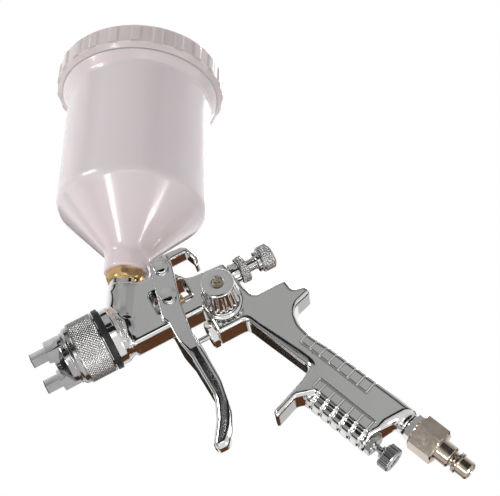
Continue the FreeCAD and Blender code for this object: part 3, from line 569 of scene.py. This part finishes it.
# The grip lines: a spine and its teeth, as (down the handle, across it) in millimetres.
TUBE_EDGE = -19.0
LINE_DEPTH = 0.38
LINE_WIDTH = 0.42
FRONT_DEPTH = 0.36
TUBE_DEEPER = 0.34
TUBE_WIDER = 0.22
BACK_SPINE, BACK_PITCH = -3.3, 6.6
FRONT_SPINE, FRONT_PITCH = -12.9, 6.5
BACK_COMB = [((64, BACK_SPINE), (110.2, BACK_SPINE))]
BACK_COMB += [((64 + BACK_PITCH * index, BACK_SPINE), (64 + BACK_PITCH * index, 12)) for index in range(8)]
FRONT_COMB = [((86.5, FRONT_SPINE), (124, FRONT_SPINE)), ((86.5, FRONT_SPINE), (86.5, -18.5))]
FRONT_COMB += [((91 + FRONT_PITCH * index, FRONT_SPINE), (91 + FRONT_PITCH * index, -30))
               for index in range(6)]


def comb_depth(points):
    """Depth of the grip lines: shallow on the flats, deeper round the front tube."""
    down, across = handle_place(points)
    depth = np.zeros(len(points))
    for start, end in BACK_COMB:
        near = line_distance(down, across, start, end)
        depth = np.maximum(depth, LINE_DEPTH * np.exp(-(near / LINE_WIDTH) ** 2))
    tube = np.clip((TUBE_EDGE - across) / 1.2, 0, 1)
    for start, end in FRONT_COMB:
        near = line_distance(down, across, start, end) / (LINE_WIDTH + TUBE_WIDER * tube)
        depth = np.maximum(depth, (FRONT_DEPTH + TUBE_DEEPER * tube) * np.exp(-near ** 2))
    return depth


def near_combs(points):
    """Where the casting's mesh has to be fine enough for the grip lines."""
    down, across = handle_place(points)
    back = (down > 62.5) & (down < 111.5) & (across > -4.6) & (np.abs(points[:, 1]) > 3)
    front = (down > 85) & (down < 125.5) & (across < -11.5)
    return back | front


VALVE_ZERO = -VALVE.point.x / MM

# Every bore of the casting, as (line, radius, first station, last station).
BORES = [
    (BARREL, 6.05, 15, 31), (BARREL, 3.0, 30, 64), (BARREL, 4.05, 54, 64), (BARREL, 1.6, 84, 92),
    (BARREL, 4.4, 90, 118), (BARREL, 6.5, 110.8, 116),
    (CUP, 6.95, BOSS_TOP - 12, BOSS_TOP + 4), (CUP, 3.5, BOSS_TOP - 31, BOSS_TOP - 11),
    (VALVE, 3.8, VALVE_ZERO + 82, VALVE_ZERO + 121),
    (TUBE, 3.4, TUBE_END - 19, TUBE_END + 4), (TUBE, 6.6, TUBE_END, TUBE_END + 5),
    (INLET, 5.05, NECK_END - 12.5, NECK_END + 4), (INLET, 3.2, NECK_END - 106.5, NECK_END - 12),
    (FAN, 8.0, FAN_FACE - 4.8, FAN_FACE + 4), (FAN, 3.2, FAN_FACE - 14.8, FAN_FACE),
    (PIVOT, 2.5, -20, 20)]
EDGE_ROUND = 2.3
BACK_ROUND = 1.9


def casting_field(points):
    """The polished casting: plate, hook, head, cup boss, tube, neck and fan boss."""
    x, y, z = points.T
    lower = np.clip((-42 - z) / 25, 0, 1)
    backwards = np.clip((handle_place(points)[1] + 14) / 5, 0, 1)
    rounding = EDGE_ROUND + BACK_ROUND * lower * backwards
    solid = slab_field(polygon_distance(BODY, x, z), y, HALF_PLATE, rounding)
    hook = slab_field(polygon_distance(HOOK, x, z), y, HALF_HOOK, 1.2)
    solid = join(solid, hook, 2.5)
    solid = join(solid, polygon_distance(HEAD, x, np.hypot(y, z)), 5.5)
    solid = join(solid, rod_field(points, CUP, 10, BOSS_TOP - 26, BOSS_TOP - 4.2, 0.8), 3)
    solid = join(solid, rod_field(points, CUP, 9.4, BOSS_TOP - 12, BOSS_TOP, 0.5), 0.3)
    solid = join(solid, rod_field(points, TUBE, 6.5, TUBE_END - 40, TUBE_END, 0.6), 1.4)
    solid = join(solid, rod_field(points, INLET, 6.6, NECK_END - 18.5, NECK_END, 0.4), 2)
    solid = join(solid, rod_field(points, FAN, 10.4, FAN_FACE - 12, FAN_FACE, 0.6), 1.6)
    solid = cut(solid, polygon_distance(WINDOW, x, z), 0.9)
    for line, radius, low, high in BORES:
        solid = np.maximum(solid, -rod_field(points, line, radius, low, high, 0.1))
    return solid


def refine(mesh, wanted, levels):
    """Split the faces whose corners are wanted, leaving the rest coarse."""
    bm = bmesh.new()
    bm.from_mesh(mesh)
    for level in range(levels):
        bmesh.ops.triangulate(bm, faces=bm.faces)
        bm.verts.index_update()
        places = np.array([vertex.co for vertex in bm.verts]) / MM
        chosen = wanted(places)
        edges = [edge for edge in bm.edges
                 if chosen[edge.verts[0].index] and chosen[edge.verts[1].index]]
        bmesh.ops.subdivide_edges(bm, edges=edges, cuts=1)
    bmesh.ops.triangulate(bm, faces=bm.faces)
    bm.to_mesh(mesh)
    bm.free()


def engrave(mesh, field, depth):
    """Settle a mesh on its field, then sink it along the field's normal."""
    points = np.empty(len(mesh.vertices) * 3)
    mesh.vertices.foreach_get("co", points)
    points = points.reshape(-1, 3) / MM
    for turn in range(2):
        points = onto_field(points, field)
    sunk = depth(points)
    low = sunk > 0.002
    normal = gradient(points[low], field)
    normal /= np.maximum(np.linalg.norm(normal, axis=1), 0.2)[:, None]
    points[low] -= normal * sunk[low, None]
    mesh.vertices.foreach_set("co", (points * MM).ravel())
    mesh.update()


body_voxel = 0.8
body_mesh = field_mesh("body_casting", "gun_body", casting_field, body_voxel)
refine(body_mesh, near_combs, 2)
engrave(body_mesh, casting_field, comb_depth)
finish_piece("body_casting", body_mesh, ["gun_body"], sharp=48)


# ---------------------------------------------------------------- trigger

TRIGGER = rounded_outline([
    (77.6, 26.6), (71.2, 23.6), (69.9, 17.3), (63.4, -10.4), (65.3, -14.6), (65.1, -28.5),
    (66.8, -40.0), (67.4, -66.0), (63.0, -76.5), (55.0, -88.0), (56.6, -91.8), (62.2, -92.0),
    (69.2, -84.6), (74.4, -73.0), (76.4, -60.0), (76.0, -42.0), (74.4, -26.1), (76.8, -8.0),
    (80.8, 8.0), (83.4, 17.5), (82.6, 24.4)],
    {"all": 14, 1: 6, 2: 5, 3: 8, 4: 3, 5: 3, 10: 2.2, 11: 2, 12: 4, 20: 8, 21: 5})
CHANNEL = rounded_outline([
    (50.0, 30.0), (50.0, -13.2), (67.0, -16.2), (67.0, -28.5), (68.7, -40.2), (69.3, -66.4),
    (64.8, -77.3), (59.0, -86.6), (62.6, -88.6), (90.0, -88.6), (90.0, 30.0)],
    {"all": 12, 1: 1, 2: 1, 3: 2, 8: 1.5, 9: 1.5, 10: 1, 11: 1})

# Half the trigger's width, its wall, and the slope and first height of its narrowing sides.
TRIGGER_HALF = 11
TRIGGER_WALL = 2
TAPER = 0.105
TAPER_START = -36


def trigger_field(points):
    """A channel-shaped lever that narrows towards its tip, with its pin holes."""
    x, y, z = points.T
    blade = np.clip((-24 - z) / 16, 0, 1)
    half = TRIGGER_HALF - TAPER * np.maximum(0, TAPER_START - z)
    outer = slab_field(polygon_distance(TRIGGER, x, z), y, half, 0.8 + 2.4 * blade)
    inner = slab_field(polygon_distance(CHANNEL, x, z), y, half - TRIGGER_WALL, 0.8)
    solid = cut(outer, inner, 0.5)
    solid = np.maximum(solid, -rod_field(points, PIVOT, 2.55, -20, 20, 0.1))
    return np.maximum(solid, -rod_field(points, PULL, 3.2, -30, 20, 0.1))


trigger_voxel = 0.6
trigger_mesh = field_mesh("trigger_lever", "trigger", trigger_field, trigger_voxel)
finish_piece("trigger_lever", trigger_mesh, ["trigger"], sharp=40)


# ------------------------------------------------------------------- head

ring_low, ring_high, ring_radius = BARREL.span("retaining_ring")
knurl_low = ring_low + 5.2 * MM
spun("retaining_ring_knurled", BARREL, [
    (14.7 * MM, ring_low), (15.5 * MM, ring_low), (15.5 * MM, ring_low + 0.5 * MM),
    (15.1 * MM, ring_low + 0.7 * MM), (15.1 * MM, ring_low + 1.2 * MM),
    (15.9 * MM, ring_low + 1.4 * MM), (17.0 * MM, ring_low + 2.9 * MM),
    (17.0 * MM, knurl_low - 0.6 * MM), (16.7 * MM, knurl_low - 0.4 * MM),
    (ring_radius, knurl_low)]
    + [(ring_radius, along) for along in steps(knurl_low, ring_high - 0.6 * MM, 64)[1:]]
    + [(ring_radius - 0.5 * MM, ring_high), (16.5 * MM, ring_high), (16.5 * MM, 10.9 * MM),
       (14.7 * MM, 10.9 * MM)],
    ["retaining_ring"], segments=576, soft=0.00008, sharp=0,
    shape=diamond_knurl(64, knurl_low + 0.3 * MM, ring_high - 0.8 * MM, 0.38 * MM, 17.5 * MM))

gasket_low, gasket_high, gasket_radius = BARREL.span("head_gasket")
spun("head_gasket_ring", BARREL, [
    (16.5 * MM, gasket_low), (gasket_radius, gasket_low), (gasket_radius, gasket_high),
    (16.5 * MM, gasket_high)], ["head_gasket"], soft=0.0006)


# --------------------------------------------------------------- controls

def knurled_rim(radius, low, high, bevel, teeth, depth, rows, straight=False):
    """Profile and shape of a rim that is knurled between its bevels."""
    rim = steps(low + bevel, high - bevel, rows)
    profile = [(radius - bevel, low)] + [(radius, along) for along in rim] + [(radius - bevel, high)]

    def straight_knurl(turn, wide, along):
        if wide < radius - 1e-7 or along < rim[0] - 1e-7 or along > rim[-1] + 1e-7:
            return wide
        return wide - depth * (1 - min(1, tooth(turn / math.tau * teeth) * 1.6))

    if straight:
        return profile, straight_knurl
    return profile, diamond_knurl(teeth, rim[0], rim[-1], depth, radius - 0.1 * MM)


lock_low, lock_high, lock_radius = BARREL.span("fluid_lock_ring")
lock_profile, lock_shape = knurled_rim(lock_radius, lock_low, lock_high, 0.6 * MM, 36, 0.4 * MM, 22)
spun("fluid_lock_ring_knurled", BARREL, [(3.6 * MM, lock_low)] + lock_profile + [(3.6 * MM, lock_high)],
     ["fluid_lock_ring"], segments=264, soft=0.00006, sharp=60, shape=lock_shape)

knob_low, knob_high, knob_radius = BARREL.span("fluid_knob")
rim_low = 129.4 * MM
rim = steps(rim_low + 0.7 * MM, knob_high - 1.1 * MM, 30)
spun("fluid_knob_knurled", BARREL, [
    (1.6 * MM, knob_low), (3.55 * MM, knob_low), (3.55 * MM, 125.6 * MM), (3.9 * MM, 125.9 * MM),
    (3.9 * MM, 127.0 * MM), (6.1 * MM, 127.3 * MM), (6.1 * MM, rim_low - 0.4 * MM),
    (knob_radius - 0.6 * MM, rim_low)]
    + [(knob_radius, along) for along in rim]
    + [(knob_radius - 0.9 * MM, knob_high), (2.4 * MM, knob_high), (2.1 * MM, knob_high - 0.3 * MM),
       (0, knob_high - 0.3 * MM), (0, 124 * MM), (1.6 * MM, 124 * MM)],
    ["fluid_knob"], segments=264, soft=0.00008, sharp=60,
    shape=diamond_knurl(36, rim[0], rim[-1], 0.4 * MM, knob_radius - 0.1 * MM))

air_low, air_high, air_radius = TUBE.span("air_knob")
air_profile, air_shape = knurled_rim(air_radius, air_low + 2.0 * MM, air_high, 0.5 * MM, 30, 0.6 * MM, 8,
                                     straight=True)
spun("air_knob_knurled", TUBE, [(1.9 * MM, air_low), (3.4 * MM, air_low),
                                (3.4 * MM, air_low + 1.9 * MM)] + air_profile
     + [(3.6 * MM, air_high), (3.3 * MM, air_high - 0.3 * MM), (0, air_high - 0.3 * MM),
        (0, air_high - 3 * MM), (1.9 * MM, air_high - 3 * MM)],
     ["air_knob"], segments=216, soft=0.00008, sharp=50, shape=air_shape)

# The conical fan knob has scalloped sides that fade out towards its flat face.
fan_low, fan_high, fan_radius = FAN.span("fan_knob")
FLUTES = 20
FLUTE_DEPTH = 1.0 * MM
skirt = fan_low + 2.2 * MM
face_radius = 9.1 * MM


def fan_flutes(turn, radius, along):
    """Scallops that are deepest at the knob's foot."""
    if radius < face_radius - 0.4 * MM:
        return radius
    share = min(1, max(0, (fan_high - 0.8 * MM - along) / (fan_high - fan_low)))
    valley = math.sin(turn * FLUTES / 2) ** 2
    return radius - FLUTE_DEPTH * share ** 0.5 * (1 - valley) ** 1.5


cone = list(zip(steps(fan_radius, face_radius, 16), steps(skirt, fan_high - 0.5 * MM, 16)))
spun("fan_knob_fluted", FAN, [
    (2.55 * MM, fan_low), (fan_radius - 0.4 * MM, fan_low), (fan_radius, fan_low + 0.4 * MM)]
    + cone + [(face_radius - 0.5 * MM, fan_high), (3.7 * MM, fan_high), (3.55 * MM, fan_high - 0.2 * MM),
              (3.5 * MM, fan_high - 1.6 * MM), (1.4 * MM, fan_high - 1.6 * MM),
              (1.4 * MM, fan_high - 3.7 * MM), (2.55 * MM, fan_high - 3.7 * MM)],
    ["fan_knob"], segments=320, soft=0.0001, sharp=40, shape=fan_flutes)


SLOT_HALF = 0.46 * MM
SLOT_REACH = 2.0 * MM
SLOT_DEPTH = 1.5 * MM


def cross_recess(turn, radius):
    """Depth of a cross-slot screw's recess at a place on its head."""
    u = abs(radius * math.cos(turn))
    v = abs(radius * math.sin(turn))
    slot = min(u, v)
    reach = max(u, v)
    width = max(0, 1 - (slot / SLOT_HALF) ** 6)
    end = max(0, 1 - (reach / SLOT_REACH) ** 8)
    return SLOT_DEPTH * width * end


screw_low, screw_high = FAN.span("fan_knob_screw")[:2]
screw_top = [(3.0 * MM * (1 - step / 48), screw_high - 0.3 * MM * (1 - step / 48) ** 2)
             for step in range(49)]
screw_mesh = spun_mesh("fan_screw_head", FAN, [(1.4 * MM, screw_low), (1.4 * MM, screw_high - 2.2 * MM),
                                               (3.0 * MM, screw_high - 2.2 * MM)] + screw_top,
                       closed=False, segments=192, soft=0)
for vertex in screw_mesh.vertices:
    offset = vertex.co - FAN.point
    along = offset.dot(FAN.axis)
    flat = offset - FAN.axis * along
    if along > screw_high - 0.3 * MM:
        turn = math.atan2(flat.dot(FAN.other), flat.dot(FAN.side)) + 0.5
        vertex.co -= FAN.axis * cross_recess(turn, flat.length)
finish_piece("fan_screw_head", screw_mesh, ["fan_knob_screw"], sharp=30)

oring_low, oring_high, oring_radius = FAN.span("fan_oring")
spun("fan_oring_round", FAN, [(7.2 * MM, oring_low), (oring_radius, oring_low),
                              (oring_radius, oring_high), (7.2 * MM, oring_high)],
     ["fan_oring"], soft=0.0009)


# --------------------------------------------------------------- fittings

def hex_piece(name, line, node, across_flats, low, high, inner, tail=(), head=()):
    """A turned piece with a hexagon between two stations."""
    corner = across_flats / math.sqrt(3)
    drop = (corner - across_flats / 2) * 0.6
    bevel = across_flats / 2 * 0.98
    profile = list(head) + [(inner if not head else head[-1][0], low), (bevel, low),
                            (corner, low + drop)]
    profile += [(corner, along) for along in steps(low + drop, high - drop, 3)[1:]]
    profile += [(bevel, high)] + list(tail)
    if not tail:
        profile.append((inner, high))
    spun(name, line, profile, [node], segments=144, soft=0.00012, sharp=25,
         shape=hexagon(across_flats))


valve_low = VALVE.span("air_valve_nut")[0]
hex_piece("air_valve_nut_hex", VALVE, "air_valve_nut", 13.6 * MM, valve_low, valve_low + 4.3 * MM,
          1.65 * MM, tail=[(3.75 * MM, valve_low + 4.3 * MM), (3.75 * MM, valve_low + 9.8 * MM),
                           (1.65 * MM, valve_low + 9.8 * MM)])
gland_low, gland_high = TUBE.span("regulator_gland")[:2]
hex_piece("regulator_gland_hex", TUBE, "regulator_gland", 11 * MM, gland_high - 3.7 * MM, gland_high,
          1.95 * MM, head=[(1.95 * MM, gland_low), (3.35 * MM, gland_low)])
adapter_low, adapter_high = INLET.span("inlet_adapter")[:2]
hex_piece("inlet_adapter_hex", INLET, "inlet_adapter", 13.4 * MM, adapter_high - 4.3 * MM,
          adapter_high, 3.0 * MM, head=[(3.0 * MM, adapter_low), (5.0 * MM, adapter_low)])
plug_low, plug_high = INLET.span("quick_plug")[:2]


def from_tip(distance):
    """Station on the plug, in millimetres back from its nose."""
    return plug_high - distance * MM


hex_piece("quick_plug_turned", INLET, "quick_plug", 18 * MM, plug_low, from_tip(19.2), 2.9 * MM, tail=[
    (6.0 * MM, from_tip(19.2)), (6.0 * MM, from_tip(12.0)), (5.5 * MM, from_tip(11.6)),
    (4.3 * MM, from_tip(11.2)), (4.3 * MM, from_tip(9.5)), (5.3 * MM, from_tip(9.1)),
    (5.9 * MM, from_tip(8.7)), (5.9 * MM, from_tip(7.0)), (5.0 * MM, from_tip(6.6)),
    (5.0 * MM, from_tip(1.0)), (4.2 * MM, from_tip(0)), (3.3 * MM, from_tip(0)),
    (2.9 * MM, from_tip(0.5))])
fitting_low, fitting_high = CUP.span("cup_fitting")[:2]
hex_low = fitting_low + FITTING_SHANK * MM
hex_piece("cup_fitting_hex", CUP, "cup_fitting", 21 * MM, hex_low, hex_low + 6 * MM, 4.2 * MM,
          head=[(4.2 * MM, fitting_low), (6.9 * MM, fitting_low)],
          tail=[(7.2 * MM, hex_low + 6 * MM), (7.2 * MM, fitting_high), (4.2 * MM, fitting_high)])


# ------------------------------------------------- machined parts' edges

SHARP_EDGE = math.radians(35)


def broken_edges(node, width):
    """A piece with the CAD node's form and its sharp edges broken by a small round."""
    mesh = bpy.data.meshes.new(node + "_finished")
    bm = bmesh.new()
    bm.from_mesh(NODES[node].data)
    bmesh.ops.remove_doubles(bm, verts=bm.verts, dist=0.002 * MM)
    flat = math.radians(1.5)
    bmesh.ops.dissolve_limit(bm, angle_limit=flat, verts=bm.verts, edges=bm.edges)
    edges = [edge for edge in bm.edges
             if len(edge.link_faces) == 2 and edge.calc_face_angle(0) > SHARP_EDGE]
    bmesh.ops.bevel(bm, geom=edges, offset=width, segments=3, profile=0.5, affect="EDGES",
                    clamp_overlap=True)
    bm.to_mesh(mesh)
    bm.free()
    finish_piece(node + "_finished", mesh, [node], sharp=28)


for node, width in (("air_cap", 0.35), ("trigger_pivot_pin", 0.35), ("needle_pull_pin", 0.35),
                    ("fan_bush", 0.3), ("fluid_bush", 0.25), ("needle_packing_nut", 0.2),
                    ("needle_collar", 0.25), ("pivot_clip", 0.15), ("pull_pin_clip", 0.15),
                    ("lid_vent", 0.4), ("inlet_oring", 0.2)):
    broken_edges(node, width * MM)


# -------------------------------------------------------------------- cup

cup_low, cup_rim = CUP.span("cup_body")[:2]


def up(distance):
    """Station on the cup, in millimetres up from its foot."""
    return cup_low + distance * MM


def arc(center_r, center_a, radius, start, end, count=10):
    """Points of a circular arc in a turned profile; angles in degrees."""
    out = []
    for step in range(count + 1):
        angle = math.radians(start + (end - start) * step / count)
        out.append(((center_r + radius * math.cos(angle)) * MM, up(center_a + radius * math.sin(angle))))
    return out


CUP_RADIUS = 45.1
CUP_WALL = 2.3
shoulder = arc(CUP_RADIUS - 7, 46.9, 7, -45, 0)
inner_shoulder = arc(CUP_RADIUS - 7, 47.4, 7 - CUP_WALL, 0, -45)
spun("cup_shell", CUP, [
    (7.25 * MM, up(0)), (12.6 * MM, up(0)), (13.2 * MM, up(0.7)), (13.2 * MM, up(10.4)),
    (13.9 * MM, up(12.3)), (15.4 * MM, up(14.2))] + shoulder
    + [(CUP_RADIUS * MM, up(along)) for along in (60, 80, 100, 122)]
    + [(45.9 * MM, up(124.5)), (49.2 * MM, up(129.4)), (49.2 * MM, up(130.1)), (46.6 * MM, up(130.2)),
       (46.6 * MM, cup_rim - 0.6 * MM), (46.1 * MM, cup_rim),
       ((CUP_RADIUS - CUP_WALL) * MM, cup_rim), ((CUP_RADIUS - CUP_WALL) * MM, up(100))]
    + inner_shoulder + [(4.8 * MM, up(11.4)), (4.8 * MM, up(10)), (7.25 * MM, up(10))],
    ["cup_body"], segments=160, soft=0.0005, sharp=50)

lid_low, lid_high, lid_radius = CUP.span("cup_lid")
GRIP_RIBS = 24
RIB_HEIGHT = 0.9 * MM
RIB_HALF = 3.4 * MM
skirt_radius = lid_radius - RIB_HEIGHT


def grip_ribs(turn, radius, along):
    """Broad upright grip panels round the lid's skirt, with narrow steps between them."""
    if abs(radius - skirt_radius) > 0.05 * MM:
        return radius
    phase = (turn / math.tau * GRIP_RIBS) % 1.0
    offset = abs(phase - 0.5) * math.tau / GRIP_RIBS * radius
    height = max(0, 1 - (offset / RIB_HALF) ** 6)
    fade = min(1, max(0, (lid_high - 1.4 * MM - along) / (1.0 * MM)))
    return radius + RIB_HEIGHT * height * fade


spun("lid_shell", CUP, [
    (47.3 * MM, lid_low), (50.0 * MM, lid_low), (skirt_radius - 0.3 * MM, lid_low + 2.0 * MM),
    (skirt_radius + 0.4 * MM, lid_low + 2.4 * MM), (skirt_radius + 0.4 * MM, lid_low + 3.0 * MM),
    (skirt_radius, lid_low + 3.3 * MM)]
    + [(skirt_radius, along) for along in steps(lid_low + 3.6 * MM, lid_high - 1.3 * MM, 12)]
    + [(skirt_radius - 0.5 * MM, lid_high - 0.4 * MM), (skirt_radius - 1.4 * MM, lid_high),
       (45 * MM, lid_high), (44 * MM, lid_high - 0.9 * MM),
       (14 * MM, lid_high - 0.9 * MM), (12.5 * MM, lid_high - 0.1 * MM), (2 * MM, lid_high - 0.1 * MM),
       (2 * MM, lid_high - 4.4 * MM), (47.3 * MM, lid_high - 4.4 * MM)],
    ["cup_lid"], segments=720, soft=0.0003, sharp=50, shape=grip_ribs)


# ------------------------------------------------------------------ stage
# A pale floor well below the hanging gun, cards that only reflections see, and lights.

def stage_plane(name, center, size, facing, color, shown, strength=0.0):
    """A matt plane; one that isn't shown is seen in reflections only."""
    mesh = bpy.data.meshes.new(name)
    half_x, half_y = size[0] / 2, size[1] / 2
    corners = [(-half_x, -half_y, 0), (half_x, -half_y, 0), (half_x, half_y, 0), (-half_x, half_y, 0)]
    mesh.from_pydata(corners, [], [(0, 1, 2, 3)])
    made = bpy.data.objects.new(name, mesh)
    bpy.context.scene.collection.objects.link(made)
    made.location = center
    made.rotation_euler = Vector(facing).to_track_quat("Z", "Y").to_euler()
    material, tree, shader = new_material(name, color, 0.0, 0.7)
    shader.inputs["Specular IOR Level"].default_value = 0.0
    if strength:
        shader.inputs["Emission Color"].default_value = (*color, 1)
        shader.inputs["Emission Strength"].default_value = strength
    tint(tree, noise(tree, 3, 2), shader.inputs["Base Color"],
         tuple(channel * 0.97 for channel in color), color)
    mesh.materials.append(material)
    made.visible_camera = shown
    made.visible_shadow = shown
    made.visible_diffuse = shown
    made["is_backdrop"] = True


low_corner, high_corner = (Vector(corner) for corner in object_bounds())
centre = (low_corner + high_corner) / 2
size = (high_corner - low_corner).length
floor_height = low_corner.z - 0.9 * size
stage_plane("floor", (centre.x, centre.y, floor_height), (9, 9), (0, 0, 1), (0.86, 0.86, 0.86), True)


# Cards, as (name, direction from the gun's centre, distance and size in metres, colour, glow).
CARDS = [
    ("brown_table", (0.10, 0.62, -0.78), 0.62, (2.2, 0.62), (0.13, 0.05, 0.022), 0.0),
    ("glow_left", (-0.669, -0.561, -0.488), 0.798, (0.09, 0.26), (1.0, 0.98, 0.96), 13.0),
    ("glow_below", (0.215, -0.244, -0.946), 0.467, (0.095, 0.095), (1.0, 0.98, 0.96), 13.0),
    ("dark_room", (0.16, -0.98, -0.06), 1.00, (1.9, 0.34), (0.012, 0.012, 0.014), 0.0),
    ("dark_right", (0.72, -0.66, 0.25), 0.95, (0.30, 1.2), (0.010, 0.010, 0.012), 0.0),
    ("dark_left", (-0.93, -0.30, 0.15), 0.95, (0.22, 1.3), (0.010, 0.010, 0.010), 0.0),
    ("dark_trigger", (-0.224, -0.934, 0.277), 1.049, (0.77, 0.28), (0.010, 0.010, 0.012), 0.0),
    ("dark_far_left", (-0.86, 0.48, 0.15), 1.00, (0.60, 0.40), (0.020, 0.014, 0.012), 0.0),
    ("dark_back_left", (-0.27, 0.89, 0.35), 0.98, (1.05, 0.52), (0.035, 0.024, 0.019), 0.0),
    ("dark_top", (0.05, -0.25, 0.97), 0.95, (2.0, 0.26), (0.010, 0.010, 0.010), 0.0)]
for name, direction, distance, card_size, color, glow in CARDS:
    aim = Vector(direction).normalized()
    stage_plane(name, centre + aim * distance, card_size, -aim, color, False, glow)


def soft_light(name, offset, size, power, color):
    """A soft box that stands off the gun's centre and faces it."""
    light = bpy.data.lights.new(name, "AREA")
    light.shape = "RECTANGLE"
    light.size, light.size_y = size
    light.energy = power
    light.color = color
    made = bpy.data.objects.new(name, light)
    bpy.context.scene.collection.objects.link(made)
    made.location = centre + Vector(offset)
    made.rotation_euler = (centre - made.location).to_track_quat("-Z", "Y").to_euler()


soft_light("key", (-0.75, -0.75, 0.55), (0.4, 0.4), 4, (1, 0.99, 0.97))
soft_light("rim", (0.5, 0.7, 0.6), (0.6, 0.4), 5, (1, 1, 1))
soft_light("fill", (-0.2, -0.9, -0.5), (0.6, 0.3), 0.8, (1, 0.97, 0.94))


def studio_world():
    """A room that is bright behind the gun, and mid grey and mottled on the viewer's side."""
    world = bpy.data.worlds.new("studio")
    bpy.context.scene.world = world
    world.use_nodes = True
    tree = world.node_tree
    place = tree.nodes.new("ShaderNodeTexCoord")
    split = tree.nodes.new("ShaderNodeSeparateXYZ")
    tree.links.new(place.outputs["Generated"], split.inputs["Vector"])

    room = tree.nodes.new("ShaderNodeValToRGB")
    stops = room.color_ramp.elements
    stops[0].position = 0.0
    stops[0].color = (0.36, 0.36, 0.362, 1)
    stops[1].position = 0.60
    stops[1].color = (1.0, 1.0, 1.0, 1)
    stops.new(0.40).color = (0.44, 0.44, 0.44, 1)
    tree.links.new(map_range(tree, split.outputs["Y"], -1, 1), room.inputs["Fac"])

    patches = tree.nodes.new("ShaderNodeTexNoise")
    patches.inputs["Scale"].default_value = 2.6
    patches.inputs["Detail"].default_value = 1.0
    tree.links.new(place.outputs["Generated"], patches.inputs["Vector"])
    mottled = tree.nodes.new("ShaderNodeVectorMath")
    mottled.operation = "SCALE"
    tree.links.new(room.outputs["Color"], mottled.inputs[0])
    tree.links.new(map_range(tree, patches.outputs["Fac"], 0.35, 0.65, 0.72, 1.22), mottled.inputs["Scale"])

    behind = tree.nodes.new("ShaderNodeMath")
    behind.operation = "GREATER_THAN"
    behind.inputs[1].default_value = 0.25
    tree.links.new(split.outputs["Y"], behind.inputs[0])
    blend = tree.nodes.new("ShaderNodeMix")
    blend.data_type = "RGBA"
    tree.links.new(behind.outputs[0], blend.inputs["Factor"])
    tree.links.new(mottled.outputs[0], blend.inputs["A"])
    tree.links.new(room.outputs["Color"], blend.inputs["B"])
    background = tree.nodes["Background"]
    background.inputs["Strength"].default_value = 1.0
    tree.links.new(blend.outputs["Result"], background.inputs["Color"])


studio_world()

# ----------------------------------------------------------------- camera
# Below and to the left of the gun, rolled so that the barrel climbs the frame.

VIEW_AZIMUTH = -10.74
VIEW_ELEVATION = -30.09
VIEW_ROLL = -32.68
VIEW_DISTANCE = 620 * MM
SENSOR_WIDTH = 36
LENS = 77.76
AIM_POINT = Vector((127.3, -7.7, 5.8)) * MM

azimuth = math.radians(VIEW_AZIMUTH)
elevation = math.radians(VIEW_ELEVATION)
backwards = Vector((math.cos(elevation) * math.sin(azimuth), -math.cos(elevation) * math.cos(azimuth),
                    math.sin(elevation)))
camera_data = bpy.data.cameras.new("camera")
camera_data.sensor_width = SENSOR_WIDTH
camera_data.lens = LENS
camera_data.clip_start = 0.01
camera = bpy.data.objects.new("camera", camera_data)
bpy.context.scene.collection.objects.link(camera)
camera.location = AIM_POINT + backwards * VIEW_DISTANCE
level = (-backwards).to_track_quat("-Z", "Y")
camera.rotation_euler = (level @ Quaternion((0, 0, 1), math.radians(VIEW_ROLL))).to_euler()
bpy.context.scene.camera = camera
bpy.context.scene.view_settings.view_transform = "Standard"
